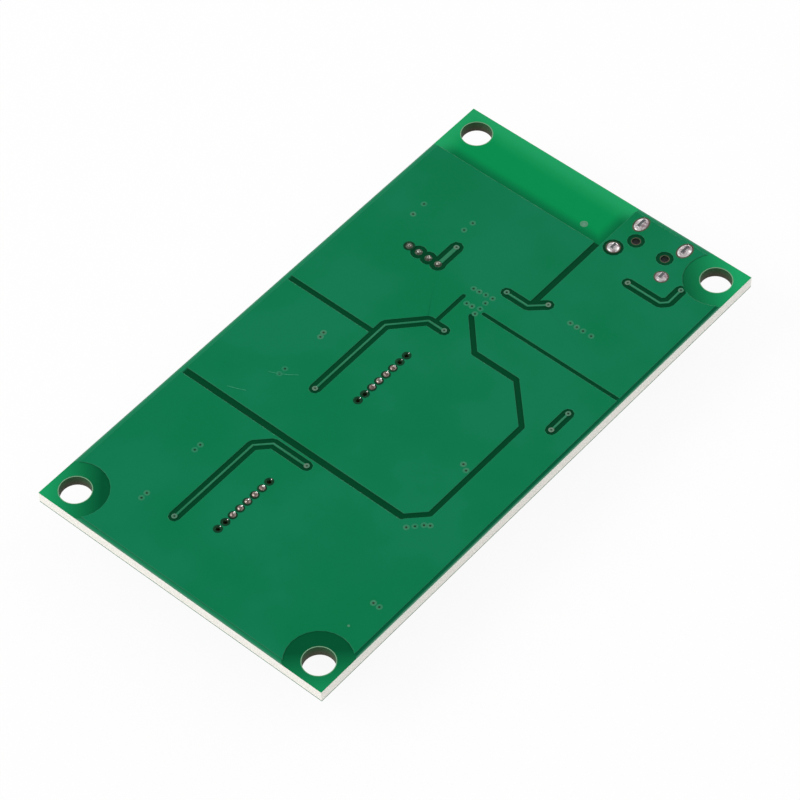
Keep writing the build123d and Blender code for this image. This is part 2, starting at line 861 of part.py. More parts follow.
def lead_outline(reach, foot, drop, thickness):
    """Side view of a bent lead, from its chip's side at zero outwards along X.

    The top of the foot lies on the pads, and the lead leaves the chip lower by drop.
    """
    bend = reach - foot
    with BuildLine() as outline:
        Polyline(
            (0, pad_face - drop),
            (bend, pad_face),
            (reach, pad_face),
            (reach, pad_face - thickness),
            (bend + thickness / 2, pad_face - thickness),
            (thickness / 2, pad_face - drop - thickness),
            (0, pad_face - drop - thickness),
            close=True,
        )
    make_face(outline.edges())


with BuildPart() as chip_lead:
    with BuildSketch(Plane.XZ.offset(-lead_width / 2)):
        lead_outline(lead_reach, lead_foot, chip_height / 2, lead_thickness)
    extrude(amount=lead_width)


def chip_leads(place, count):
    """Bent leads above and below a chip's middle."""
    for offset in spread(count, amplifier_lead_pitch):
        for side in (-1, 1):
            foot = (place[0] + offset, place[1] + side * chip_width / 2, 0)
            with Locations(Location(foot, (0, 0, side * 90))):
                add(chip_lead.part)


# Amplifier chips over the thermal rows: body, leads and thermal slug of each
for side_name, place in amplifier_places.items():
    with BuildPart() as amplifier_body:
        chip_body(place, amplifier_length)
    finish(amplifier_body, f"amplifier_{side_name}_body")

    with BuildPart() as amplifier_leads:
        chip_leads(place, amplifier_leads_a_side)
    finish(amplifier_leads, f"amplifier_{side_name}_leads")

    with BuildPart() as amplifier_slug:
        with BuildSketch(Plane.XY.offset(pad_face - chip_standoff)):
            with Locations(place):
                Rectangle(slug_length, slug_width)
        extrude(amount=chip_standoff)
    finish(amplifier_slug, f"amplifier_{side_name}_slug")

# Memory chip and its leads
with BuildPart() as memory_body:
    chip_body(memory_place, memory_length)
finish(memory_body, "memory_body")

with BuildPart() as memory_leads:
    chip_leads(memory_place, memory_leads_a_side)
finish(memory_leads, "memory_leads")

# Radio chip, and the contacts and slug under it
with BuildPart() as radio_body:
    with BuildSketch(Plane.XY.offset(pad_face - radio_contact_thickness)):
        with Locations(radio_place):
            Rectangle(radio_side, radio_side)
    extrude(amount=radio_contact_thickness - radio_height)
finish(radio_body, "radio_body")

with BuildPart() as radio_contacts:
    with BuildSketch(Plane.XY.offset(pad_face - radio_contact_thickness)):
        with Locations(radio_place):
            Rectangle(radio_slug_side, radio_slug_side)
        for contact_offset in radio_offsets:
            for side in (-1, 1):
                along = side * radio_contact_reach
                with Locations((radio_place[0] + along, radio_place[1] + contact_offset)):
                    Rectangle(radio_contact_length, radio_contact_width)
                with Locations((radio_place[0] + contact_offset, radio_place[1] + along)):
                    Rectangle(radio_contact_width, radio_contact_length)
    extrude(amount=radio_contact_thickness)
finish(radio_contacts, "radio_contacts")

# Crystal: ceramic base and metal lid
with BuildPart() as crystal_base:
    with BuildSketch(Plane.XY.offset(pad_face - crystal_base_height)):
        with Locations(crystal_place):
            Rectangle(crystal_length, crystal_width)
    extrude(amount=crystal_base_height)
finish(crystal_base, "crystal_base")

with BuildPart() as crystal_lid:
    with BuildSketch(Plane.XY.offset(pad_face - crystal_base_height)):
        with Locations(crystal_place):
            inset = 2 * crystal_lid_inset
            Rectangle(crystal_length - inset, crystal_width - inset)
    extrude(amount=-crystal_lid_height)
finish(crystal_lid, "crystal_lid")

# Voltage regulator: body, then three leads and a wide tab
with BuildPart() as regulator_body:
    with BuildSketch(Plane.XY.offset(pad_face - chip_standoff)):
        with Locations(regulator_place):
            Rectangle(regulator_width, regulator_length)
    extrude(amount=chip_standoff - regulator_height)
    chamfer(faces().sort_by(Axis.Z)[0].edges(), regulator_edge)
finish(regulator_body, "regulator_body")

with BuildPart() as regulator_lead:
    with BuildSketch(Plane.XZ.offset(-regulator_lead_width / 2)):
        lead_outline(regulator_reach, regulator_foot, regulator_height / 2, lead_thickness)
    extrude(amount=regulator_lead_width)

with BuildPart() as regulator_tab:
    with BuildSketch(Plane.XZ.offset(-regulator_tab_width / 2)):
        lead_outline(regulator_reach, regulator_foot, regulator_height / 2, lead_thickness)
    extrude(amount=regulator_tab_width)

with BuildPart() as regulator_leads:
    for lead_offset in spread(regulator_lead_count, regulator_lead_pitch):
        exit_point = (
            regulator_place[0] - regulator_width / 2,
            regulator_place[1] + lead_offset,
            0,
        )
        with Locations(Location(exit_point, (0, 0, 180))):
            add(regulator_lead.part)
    with Locations((regulator_place[0] + regulator_width / 2, regulator_place[1], 0)):
        add(regulator_tab.part)
finish(regulator_leads, "regulator_leads")


def folded_body(place, size):
    """A moulded body that stands on the feet of its end plates."""
    length, width, height, plate_width, plate_rise = size
    with BuildSketch(Plane.XY.offset(pad_face - plate_thickness)) as outline:
        with Locations(place[:2]):
            Rectangle(length, width, rotation=place[2])
    extrude(outline.sketch, amount=plate_thickness - height)
    chamfer(faces().sort_by(Axis.Z)[0].edges(), folded_edge)


def folded_plates(place, size):
    """Two end plates, each folded under its end of the body."""
    length, width, height, plate_width, plate_rise = size
    inner = length / 2
    outer = inner + plate_thickness
    with BuildSketch(Plane.XZ.offset(-plate_width / 2)) as outline:
        with BuildLine():
            Polyline(
                (inner - plate_foot, pad_face),
                (outer, pad_face),
                (outer, pad_face - plate_rise),
                (inner, pad_face - plate_rise),
                (inner, pad_face - plate_thickness),
                (inner - plate_foot, pad_face - plate_thickness),
                close=True,
            )
        make_face()
    plate = extrude(outline.sketch, amount=plate_width, mode=Mode.PRIVATE)
    for angle in (place[2], place[2] + 180):
        with Locations(Location((place[0], place[1], 0), (0, 0, angle))):
            add(plate)


# Diode of the supply
with BuildPart() as diode_body:
    folded_body(diode_place, diode_size)
finish(diode_body, "diode_body")

with BuildPart() as diode_plates:
    folded_plates(diode_place, diode_size)
finish(diode_plates, "diode_plates")

# Output inductors, two for each channel
for number, place in enumerate(inductor_places, start=1):
    with BuildPart() as inductor_body:
        folded_body(place, inductor_size)
    finish(inductor_body, f"inductor_{number}_body")

    with BuildPart() as inductor_plates:
        folded_plates(place, inductor_size)
    finish(inductor_plates, f"inductor_{number}_plates")


def small_bodies(places, size):
    """Bodies of small parts, thinner all round than their end caps."""
    length, width, height, cap = size
    with BuildSketch(Plane.XY.offset(pad_face - end_cap_skin)) as outlines:
        for x, y, angle in places:
            with Locations((x, y)):
                Rectangle(length - 2 * cap, width - 2 * end_cap_skin, rotation=angle)
    extrude(outlines.sketch, amount=2 * end_cap_skin - height)


def small_end_caps(places, size):
    """End caps of small parts, standing on their pads."""
    length, width, height, cap = size
    with BuildSketch(Plane.XY.offset(pad_face)) as outlines:
        for place in places:
            rectangles(pad_pair(place, (length - cap) / 2, cap, width))
    extrude(outlines.sketch, amount=-height)


# Ceramic capacitors, resistors and the light, each kind as a group
for group, places, size in (
    ("ceramic", ceramic_places, ceramic_size),
    ("resistor", resistor_places, resistor_size),
    ("light", [light_place], light_size),
):
    with BuildPart() as bodies:
        small_bodies(places, size)
    finish(bodies, f"{group}_bodies")

    with BuildPart() as end_caps:
        small_end_caps(places, size)
    finish(end_caps, f"{group}_end_caps")
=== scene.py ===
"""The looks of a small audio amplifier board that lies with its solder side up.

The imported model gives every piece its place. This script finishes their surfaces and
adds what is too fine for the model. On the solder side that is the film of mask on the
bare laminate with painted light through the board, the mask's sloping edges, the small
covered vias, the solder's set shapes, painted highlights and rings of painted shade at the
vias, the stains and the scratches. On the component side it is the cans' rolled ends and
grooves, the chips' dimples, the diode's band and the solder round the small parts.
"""

import math

import bpy
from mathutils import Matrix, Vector, noise


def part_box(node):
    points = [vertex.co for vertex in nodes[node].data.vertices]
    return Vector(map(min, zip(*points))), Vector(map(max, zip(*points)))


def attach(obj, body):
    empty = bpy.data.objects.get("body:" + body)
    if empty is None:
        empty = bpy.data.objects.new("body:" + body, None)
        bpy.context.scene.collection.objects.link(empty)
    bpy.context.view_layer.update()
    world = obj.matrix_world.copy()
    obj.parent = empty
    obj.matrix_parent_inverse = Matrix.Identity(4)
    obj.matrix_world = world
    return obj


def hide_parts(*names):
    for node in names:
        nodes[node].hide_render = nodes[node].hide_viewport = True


MM = 0.001

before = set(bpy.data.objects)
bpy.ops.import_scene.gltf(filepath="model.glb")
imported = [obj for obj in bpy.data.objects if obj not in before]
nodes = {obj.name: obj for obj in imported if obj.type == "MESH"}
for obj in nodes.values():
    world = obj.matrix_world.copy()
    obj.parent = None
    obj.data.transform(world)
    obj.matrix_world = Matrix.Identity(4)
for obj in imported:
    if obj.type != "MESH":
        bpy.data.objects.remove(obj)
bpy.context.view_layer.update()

# Heights and edges that the model gives, in metres
laminate_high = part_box("laminate")[1]
mask_low, mask_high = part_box("solder_side_mask")
laminate_face = laminate_high.z
copper_face = mask_low.z
mask_face = mask_high.z

# The board's plan, in millimetres from its middle
board_half = Vector((laminate_high.x, laminate_high.y, 0)) / MM
mount_hole = Vector((32.3, 16.8, 0))
mount_hole_radius = 1.75
mount_keepout_radius = 3.65
antenna_zone_corner = Vector((28.2, -4.05, 0))
peg_places = [(31.15, -10.68), (31.15, -6.72)]
peg_hole_radius = 0.5

# The mask's film on bare laminate, and how its edges slope over the copper's
film_thickness = 0.03
film_hole_margin = 0.09
shoulder_width = 0.05
shoulder_drop = 0.03

# The cured ink's ripple, and how far a thin piece stands off the mask's face
ink_ripple = 0.35
ink_ripple_depth = 0.004
ink_roughness = 0.42
thin_lift = 0.004

# Vias that the mask covers, where they stand by themselves
via_radius = 0.36
via_dimple_radius = 0.13
via_rise = 0.012
covered_vias = [
    (-28.71, 10.77), (-27.91, 10.77), (-20.58, 10.77), (-19.74, 10.77),
    (-7.36, 10.77), (-6.48, 10.77), (-0.81, 10.77), (-0.15, 10.9),
    (12.68, 1.75), (12.72, 1.05), (12.12, 0.12), (13.0, 0.14), (13.95, 0.21),
    (14.95, 0.02), (14.73, 2.5), (14.78, 1.75), (14.87, 0.91),
    (17.6, -8.55), (17.6, -9.44), (17.6, -10.29), (17.6, -11.39),
    (18.7, 14.45), (20.58, 14.5), (20.47, 8.67), (21.83, 8.58),
    (-14.16, -12.74), (-13.5, -13.34), (-12.8, -13.96), (-12.44, -14.5),
    (-4.2, -12.0), (-4.66, -12.74), (-23.49, -16.38), (-23.49, -17.17),
]

# Vias at the ends of the traces, each on a round pad in the trace's clearance
trace_pad_radius = 0.32
trace_pad_rise = 0.03
trace_vias = [
    (-28.28, 6.55), (-14.72, 0.39), (-6.45, 6.55), (8.26, 1.17), (18.05, 7.7),
    (16.6, -0.57), (18.08, -5.13), (5.1, -16.14), (7.9, -16.14),
    (25.9, -9.75), (28.7, -14.8),
]

# A via seen through the mask of the antenna's zone, and a small pale mark
antenna_via = (29.5, -0.8)
antenna_via_radius = 0.45
antenna_via_rise = 0.02
antenna_via_core = 0.4
pale_mark = (-27.2, -16.3)
pale_mark_radius = 0.14
pale_mark_rise = 0.01
pale_mark_core = 0.5

# Solder and rims of the thermal rows, with a ring of painted shade round each via and a
# bright bead of painted highlight on one side
collar_inner_radius = 0.28
collar_outer_radius = 0.53
collar_rise = 0.012
collar_lift = 0.003
open_drill_radius = 0.3
barrel_depth = 0.5
barrel_clearance = 0.005
thermal_bead_radius = 0.35
thermal_bead_height = 0.2
thermal_bead_shift = 0.05
# Painted highlights: small bright beads on the lit side of the filled and the open vias
thermal_highlight_radius = 0.15
thermal_highlight_reach = 0.27
thermal_highlight_lift = 0.08
open_highlight_radius = 0.08
open_highlight_reach = 0.37
open_highlight_lift = 0.01

# Solder of the programming contacts, whose beads are a share of the model's in width, with a
# lighter cap on each bead that is a painted highlight on its top
first_program_place = (14.95, 11.8)
program_collar_inner_radius = collar_outer_radius - 0.12
program_collar_outer_radius = 0.66
program_bead_share = 0.88
program_bead_height = 0.14
program_highlight_radius = 0.24
program_highlight_height = 0.16
program_highlight_shift = 0.03
program_highlight_lift = 0.06

# Solder of the socket's legs, its mounds a share of the model's joints in width, and the
# stains round legs and pegs
leg_fill_height = 0.01
leg_mound_share = 0.95
flux_ring_width = 0.09
flux_ring_overlap = 0.03
flux_ring_rise = 0.01
peg_ring_inner_radius = peg_hole_radius - 0.06
peg_ring_outer_radius = peg_hole_radius + 0.05

# Fine pale scratches
scratch_width = 0.07
scratches = [
    [(-12.1, 13.9), (-11.75, 13.0), (-11.3, 12.0)],
    [(-7.9, 11.9), (-7.5, 11.0), (-6.9, 10.0), (-6.2, 9.1)],
]

# The component side's turned cans
can_roll = 0.35
can_roll_steps = 6
can_lip = 0.25
can_groove_place = 1.2
can_groove_width = 0.9
can_groove_depth = 0.2
can_groove_steps = 12

# The chips' dimples, the diode's band, and the solder round the small parts
dimple_radius = 0.4
dimple_core = 0.7
dimple_rise = 0.012
dimple_inset = 0.85
dimple_lift = 0.002
band_width = 0.6
band_place = 0.9
band_side_margin = 0.25
band_thickness = 0.02
band_bevel = 0.008
fillet_reach = 0.14
fillet_height = 0.28

# The camera stands as the photograph's did
look_at = Vector((-1.93, -1.38, 7.43)) * MM
view_azimuth = 47.61
view_elevation = 51.39
view_distance = 399.6 * MM
view_roll = 2.19
camera_lens = 171.17
camera_sensor = 36.0

# The studio. Each lamp has its place and size in metres, and its power in watts
floor_size = 6
floor_glow = 0.92
world_strength = 0.55
ceiling_start = 0.35
ceiling_full = 0.7
lamps = (
    ("key", (-0.5, 0.45, 0.6), 0.5, 4.1),
    ("fill", (0.6, -0.3, 0.5), 0.5, 1.6),
    ("rim", (0.9, 0.42, 0.12), 0.3, 2.0),
)

# How near two points are to be one, and how far a normal rises where its face looks up
merge_distance = 0.001
looking_up = 0.5


# Colours and shader nodes


def linear(colour):
    """The linear colour, with alpha, of an sRGB hex colour."""
    channels = [int(colour[place:place + 2], 16) / 255 for place in (1, 3, 5)]
    bent = [c / 12.92 if c <= 0.04045 else ((c + 0.055) / 1.055) ** 2.4 for c in channels]
    return (*bent, 1.0)


def add(tree, kind, inputs=None, out=0, **settings):
    """Add a shader node with its settings and links, and return one of its outputs. A Mix
    has its two colours at its inputs 6 and 7, and their mixture at its output 2."""
    new = tree.nodes.new(f"ShaderNode{kind}")
    for name, value in settings.items():
        setattr(new, name, value)
    for key, value in (inputs or {}).items():
        if isinstance(value, bpy.types.NodeSocket):
            tree.links.new(value, new.inputs[key])
        elif isinstance(value, str):
            new.inputs[key].default_value = linear(value)
        else:
            new.inputs[key].default_value = value
    return new.outputs[out] if new.outputs else new


def empty_tree(owner):
    """The cleared node tree of a material or of the world."""
    owner.use_nodes = True
    owner.node_tree.nodes.clear()
    return owner.node_tree


def blank_material(name):
    """A new material with an empty tree, its place in millimetres ready for patterns."""
    made = bpy.data.materials.new(name)
    tree = empty_tree(made)
    where = add(tree, "TexCoord", out="Object")
    place = add(tree, "VectorMath", {0: where, "Scale": 1 / MM}, operation="SCALE")
    return made, tree, place


def two_tone(name, first, second, patch, depth, shader, stretch=(1, 1, 1)):
    """A finish that wanders between two colours in patches of a size in mm, with a
    relief of a depth in mm, and drawn out where the surface was drawn or rolled."""
    made, tree, place = blank_material(name)
    blend = 0.15
    grain = add(tree, "Mapping", {"Vector": place, "Scale": [s / patch for s in stretch]})
    cloud = add(tree, "TexNoise", {"Vector": grain, "Scale": 1.0, "Detail": 4.0})
    share = add(tree, "MapRange", {"Value": cloud, "From Min": 0.5 - blend,
                                   "From Max": 0.5 + blend})
    colour = add(tree, "Mix", {0: share, 6: first, 7: second}, out=2, data_type="RGBA")
    relief = add(tree, "Bump", {"Height": cloud, "Distance": depth * MM})
    surface = add(tree, "BsdfPrincipled", {"Base Color": colour, "Normal": relief, **shader})
    add(tree, "OutputMaterial", {"Surface": surface})
    return made


# Finishes


def mask_over_copper(name, light, dark):
    """Liquid solder mask, an epoxy ink cured over copper foil: deep green and smooth,
    faintly uneven where the ink lies thicker or thinner."""
    made, tree, place = blank_material(name)
    wide_patch = 9.0
    blend = 0.15
    patches = add(tree, "TexNoise", {"Vector": place, "Scale": 1 / wide_patch, "Detail": 3.0})
    share = add(tree, "MapRange", {"Value": patches, "From Min": 0.5 - blend,
                                   "From Max": 0.5 + blend},
                interpolation_type="SMOOTHSTEP")
    colour = add(tree, "Mix", {0: share, 6: dark, 7: light}, out=2, data_type="RGBA")
    ripple = add(tree, "TexNoise", {"Vector": place, "Scale": 1 / ink_ripple, "Detail": 4.0})
    relief = add(tree, "Bump", {"Height": ripple, "Distance": ink_ripple_depth * MM})
    surface = add(tree, "BsdfPrincipled", {"Base Color": colour, "Normal": relief,
                                           "Roughness": ink_roughness,
                                           "Specular IOR Level": 0.08})
    add(tree, "OutputMaterial", {"Surface": surface})
    return made


def mask_over_laminate():
    """The same ink on the bare laminate, a deep green in the slits. Where no copper backs a
    larger area, the light that comes through the board is painted in: a brighter green, the
    more so towards the board's edges."""
    made, tree, place = blank_material("solder mask ink on bare laminate")
    split_x = add(tree, "SeparateXYZ", {"Vector": place}, out="X")
    split_y = add(tree, "SeparateXYZ", {"Vector": place}, out="Y")

    # The board's quarters are folded onto one, so that one corner stands for four
    quarter = add(tree, "VectorMath", {0: place}, operation="ABSOLUTE")
    to_sides = add(tree, "VectorMath", {0: board_half, 1: quarter}, operation="SUBTRACT")
    to_end = add(tree, "SeparateXYZ", {"Vector": to_sides}, out="X")
    to_long_side = add(tree, "SeparateXYZ", {"Vector": to_sides}, out="Y")
    to_edge = add(tree, "Math", {0: to_end, 1: to_long_side}, operation="MINIMUM")
    from_hole = add(tree, "VectorMath", {0: quarter, 1: mount_hole}, operation="SUBTRACT")
    flat = add(tree, "VectorMath", {0: from_hole, 1: (1, 1, 0)}, operation="MULTIPLY")
    to_hole = add(tree, "VectorMath", {0: flat}, out="Value", operation="LENGTH")

    # Painted light through the board: the corner circles brighten from the copper's side to
    # the board's corner, and the corners away from the light stay darker
    slant = 0.07
    dark_reach, bright_reach = -5.0, 4.6
    circle_full = mount_keepout_radius + 0.05
    circle_end = mount_keepout_radius + 0.15
    outward = add(tree, "VectorMath", {0: flat, 1: (1, 1, 0)}, out="Value",
                  operation="DOT_PRODUCT")
    lit = add(tree, "VectorMath", {0: place, 1: (slant, slant, 0)}, out="Value",
              operation="DOT_PRODUCT")
    reach = add(tree, "Math", {0: outward, 1: lit}, operation="ADD")
    corner_light = add(tree, "MapRange", {"Value": reach, "From Min": dark_reach,
                                          "From Max": bright_reach})
    corner = add(tree, "Mix", {0: corner_light, 6: "#005230", 7: "#1AA465"}, out=2,
                 data_type="RGBA")
    in_corner = add(tree, "MapRange", {"Value": to_hole, "From Min": circle_end,
                                       "From Max": circle_full})

    # Painted light through the board makes the antenna's zone bright, with a darker band
    # along the copper, and palest where it comes near the board's edge
    zone_blend = 0.1
    band_start, band_end = 0.1, 1.6
    glow_start, glow_full = 3.0, 0.2
    past_x = add(tree, "Math", {0: split_x, 1: antenna_zone_corner.x}, operation="SUBTRACT")
    past_y = add(tree, "Math", {0: split_y, 1: antenna_zone_corner.y}, operation="SUBTRACT")
    past_copper = add(tree, "Math", {0: past_x, 1: past_y}, operation="MINIMUM")
    in_zone = add(tree, "MapRange", {"Value": past_copper, "From Min": -zone_blend,
                                     "From Max": 0.0})
    band = add(tree, "MapRange", {"Value": past_copper, "From Min": band_start,
                                  "From Max": band_end}, interpolation_type="SMOOTHSTEP")
    zone = add(tree, "Mix", {0: band, 6: "#006E3F", 7: "#008E4E"}, out=2, data_type="RGBA")
    near_edge = add(tree, "MapRange", {"Value": to_edge, "From Min": glow_start,
                                       "From Max": glow_full}, interpolation_type="SMOOTHSTEP")
    zone = add(tree, "Mix", {0: near_edge, 6: zone, 7: "#1FA062"}, out=2, data_type="RGBA")

    # Painted light through the board's edge: the strip along it is light on three sides and
    # dark on the fourth, and it is paler still in a thin line at the very edge
    strip_end, strip_full = 0.8, 0.5
    pale_end, pale_full = 0.22, 0.05
    to_far_side = add(tree, "Math", {0: board_half.y, 1: split_y}, operation="SUBTRACT")
    to_light_side = add(tree, "Math", {0: to_end, 1: to_far_side}, operation="MINIMUM")
    on_light_side = add(tree, "MapRange", {"Value": to_light_side, "From Min": strip_end,
                                           "From Max": strip_full})
    strip = add(tree, "Mix", {0: on_light_side, 6: "#005A3A", 7: "#1A8056"}, out=2,
                data_type="RGBA")
    by_edge = add(tree, "MapRange", {"Value": to_edge, "From Min": strip_end,
                                     "From Max": strip_full})
    slits = add(tree, "Mix", {0: by_edge, 6: "#004024", 7: strip}, out=2, data_type="RGBA")
    very_edge = add(tree, "MapRange", {"Value": to_edge, "From Min": pale_end,
                                       "From Max": pale_full})
    slits = add(tree, "Mix", {0: very_edge, 6: slits, 7: "#4E8C70"}, out=2, data_type="RGBA")
    colour = add(tree, "Mix", {0: in_corner, 6: slits, 7: corner}, out=2, data_type="RGBA")
    colour = add(tree, "Mix", {0: in_zone, 6: colour, 7: zone}, out=2, data_type="RGBA")

    # Faint clouds, where the ink is a little thicker
    cloud_pitch = 5.0
    cloud_strength = 0.12
    clouds = add(tree, "TexNoise", {"Vector": place, "Scale": 1 / cloud_pitch, "Detail": 3.0})
    share = add(tree, "Math", {0: clouds, 1: cloud_strength}, operation="MULTIPLY")
    colour = add(tree, "Mix", {0: share, 6: colour, 7: "#00603A"}, out=2, data_type="RGBA")
    ripple = add(tree, "TexNoise", {"Vector": place, "Scale": 1 / ink_ripple, "Detail": 4.0})
    relief = add(tree, "Bump", {"Height": ripple, "Distance": ink_ripple_depth * MM})
    surface = add(tree, "BsdfPrincipled", {"Base Color": colour, "Normal": relief,
                                           "Roughness": ink_roughness,
                                           "Specular IOR Level": 0.04})
    add(tree, "OutputMaterial", {"Surface": surface})
    return made


def cut_laminate():
    """Glass-filled epoxy laminate, routed along its edges and drilled: pale cream with
    the layers of glass cloth showing as fine lines, and dark and rough in the holes."""
    made, tree, place = blank_material("routed glass epoxy laminate")
    face = laminate_face / MM
    cloth_pitch = 0.19
    waves_in_a_turn = 3.2
    fibre_width = 0.12
    fibre_depth = 0.015
    layers = add(tree, "TexWave", {"Vector": place, "Distortion": 1.5, "Detail": 2.0,
                                   "Scale": 1 / cloth_pitch / waves_in_a_turn},
                 out="Fac", bands_direction="Z")
    fibres = add(tree, "TexNoise", {"Vector": place, "Scale": 1 / fibre_width, "Detail": 5.0})
    edge = add(tree, "Mix", {0: layers, 6: "#FBF9F4", 7: "#F3F0E4"}, out=2, data_type="RGBA")

    # The drilled walls are green near the face and brownish below it, and the mask leaves a
    # thin bare rim round each hole
    green_end, brown_start = 0.3, 1.2
    rim_start, rim_full = 0.02, 0.01
    outline_margin = 0.1
    height = add(tree, "SeparateXYZ", {"Vector": place}, out="Z")
    depth = add(tree, "MapRange", {"Value": height, "From Min": face - green_end,
                                   "From Max": face - brown_start})
    on_face = add(tree, "MapRange", {"Value": height, "From Min": face - rim_start,
                                     "From Max": face - rim_full})
    drilled = add(tree, "Mix", {0: depth, 6: "#22522A", 7: "#4A4636"}, out=2,
                  data_type="RGBA")
    hole = add(tree, "Mix", {0: on_face, 6: drilled, 7: "#7FAE8A"}, out=2, data_type="RGBA")
    quarter = add(tree, "VectorMath", {0: place}, operation="ABSOLUTE")
    to_sides = add(tree, "VectorMath", {0: board_half, 1: quarter}, operation="SUBTRACT")
    to_end = add(tree, "SeparateXYZ", {"Vector": to_sides}, out="X")
    to_long_side = add(tree, "SeparateXYZ", {"Vector": to_sides}, out="Y")
    inward = add(tree, "Math", {0: to_end, 1: to_long_side}, operation="MINIMUM")
    inside = add(tree, "Math", {0: inward, 1: outline_margin}, operation="GREATER_THAN")
    colour = add(tree, "Mix", {0: inside, 6: edge, 7: hole}, out=2, data_type="RGBA")
    relief = add(tree, "Bump", {"Height": fibres, "Distance": fibre_depth * MM})
    surface = add(tree, "BsdfPrincipled", {"Base Color": colour, "Normal": relief,
                                           "Roughness": 0.7, "Specular IOR Level": 0.3})
    add(tree, "OutputMaterial", {"Surface": surface})
    return made


def set_solder(name, bright, dull, roughness, patch=0.22, metallic=1.0):
    """Tin solder, melted and set: bright metal with dull frosted patches, which are the
    rougher and stand a hair higher."""
    made, tree, place = blank_material(name)
    frost_depth = 0.012
    blend = 0.12
    smoothest, roughest = 0.6, 1.5
    cloud = add(tree, "TexNoise", {"Vector": place, "Scale": 1 / patch, "Detail": 4.0})
    frost = add(tree, "MapRange", {"Value": cloud, "From Min": 0.5 - blend,
                                   "From Max": 0.5 + blend},
                interpolation_type="SMOOTHSTEP")
    colour = add(tree, "Mix", {0: frost, 6: bright, 7: dull}, out=2, data_type="RGBA")
    rough = add(tree, "MapRange", {"Value": frost, "To Min": roughness * smoothest,
                                   "To Max": roughness * roughest})
    relief = add(tree, "Bump", {"Height": frost, "Distance": frost_depth * MM})
    surface = add(tree, "BsdfPrincipled", {"Base Color": colour, "Roughness": rough,
                                           "Metallic": metallic, "Normal": relief})
    add(tree, "OutputMaterial", {"Surface": surface})
    return made


def drawn_can(name, middle):
    """A drawn aluminium can: satin sides with fine lines round it, and a printed black
    segment on its top that shows which lead is negative."""
    made, tree, place = blank_material(name)
    mark_start = 1.3
    top_height = 0.05
    line_length = 4.0
    line_pitch = 0.2
    line_depth = 0.004
    from_middle = add(tree, "VectorMath", {0: place, 1: middle / MM}, operation="SUBTRACT")
    across = add(tree, "SeparateXYZ", {"Vector": from_middle}, out="Y")
    height = add(tree, "SeparateXYZ", {"Vector": place}, out="Z")
    on_top = add(tree, "Math", {0: height, 1: top_height}, operation="LESS_THAN")
    beside = add(tree, "Math", {0: across, 1: mark_start}, operation="GREATER_THAN")
    mark = add(tree, "Math", {0: on_top, 1: beside}, operation="MULTIPLY")
    lines = add(tree, "Mapping", {"Vector": place, "Scale": (1 / line_length, 1 / line_length,
                                                             1 / line_pitch)})
    streaks = add(tree, "TexNoise", {"Vector": lines, "Scale": 1.0, "Detail": 3.0})
    metal = add(tree, "Mix", {0: streaks, 6: "#B4B6B8", 7: "#DADCDE"}, out=2,
                data_type="RGBA")
    colour = add(tree, "Mix", {0: mark, 6: metal, 7: "#121214"}, out=2, data_type="RGBA")
    shine = add(tree, "Math", {0: 1.0, 1: mark}, operation="SUBTRACT")
    relief = add(tree, "Bump", {"Height": streaks, "Distance": line_depth * MM})
    surface = add(tree, "BsdfPrincipled", {"Base Color": colour, "Metallic": shine,
                                           "Roughness": 0.34, "Normal": relief})
    add(tree, "OutputMaterial", {"Surface": surface})
    return made


# Cured ink: deep green on the copper plane, a shade lighter where it thins over a narrow trace
# or over a via's rim, and darker where it sinks. On the slopes it is lighter partly as thinner
# ink and partly as a painted highlight. The dark rings round the vias are painted shade
deep_mask = mask_over_copper("solder mask ink over copper", "#08784F", "#007548")
shoulder_mask = mask_over_copper("solder mask ink thinned on the slope", "#1E7C55", "#147850")
trace_mask = mask_over_copper("solder mask ink over a narrow trace", "#34805D", "#267450")
via_ring = two_tone("solder mask ink thinned over a via's rim", "#1F7E57", "#3E8060",
                    2.5, 0.0, {"Roughness": 0.42, "Specular IOR Level": 0.08})
via_middle = two_tone("solder mask ink sunk in a via", "#08341F", "#2E3C2C",
                      2.5, 0.0, {"Roughness": 0.5, "Specular IOR Level": 0.08})
trace_via_rim = two_tone("tinned rim under thin ink", "#447E62", "#64806C",
                         1.5, 0.0, {"Roughness": 0.4, "Specular IOR Level": 0.12})
trace_via_middle = two_tone("ink sunk in a trace's via", "#122A1E", "#3C5846",
                            1.5, 0.0, {"Roughness": 0.5, "Specular IOR Level": 0.08})
# A dark ring of painted shade and dark reflection round the vias
shade_ring_ink = two_tone("solder mask ink painted as shade round a via", "#06341F", "#0C4329",
                      0.8, 0.0, {"Roughness": 0.4, "Specular IOR Level": 0.12})

# A reddish dark painted in the open vias as their shade, and the brownish stain of dried flux
shaded_barrel_copper = two_tone("copper barrel painted dark as the via's shade", "#320E10", "#4C1A1C",
                         0.2, 0.01, {"Roughness": 0.6, "Specular IOR Level": 0.1})
flux = two_tone("dried flux", "#3C4A38", "#5E5648", 0.4, 0.01,
                {"Roughness": 0.35, "Specular IOR Level": 0.15})

# Ink that a scratch has lifted looks pale and dry
pale_ink = two_tone("ink lifted by a scratch", "#46A07A", "#268A62", 0.4, 0.0,
                    {"Roughness": 0.7, "Specular IOR Level": 0.1})

# Routed glass epoxy is cream and matt. Etched foil is seen only edge on, at the foot of
# the mask's slopes
laminate_cut = cut_laminate()
copper_edge = two_tone("etched copper foil under the mask", "#1E5A3A", "#2E6A48", 0.3, 0.002,
                       {"Roughness": 0.6, "Specular IOR Level": 0.1})
bare_copper = two_tone("rolled copper foil", "#C98A5E", "#B87448", 0.3, 0.003,
                       {"Metallic": 1.0, "Roughness": 0.4}, stretch=(0.15, 1, 1))
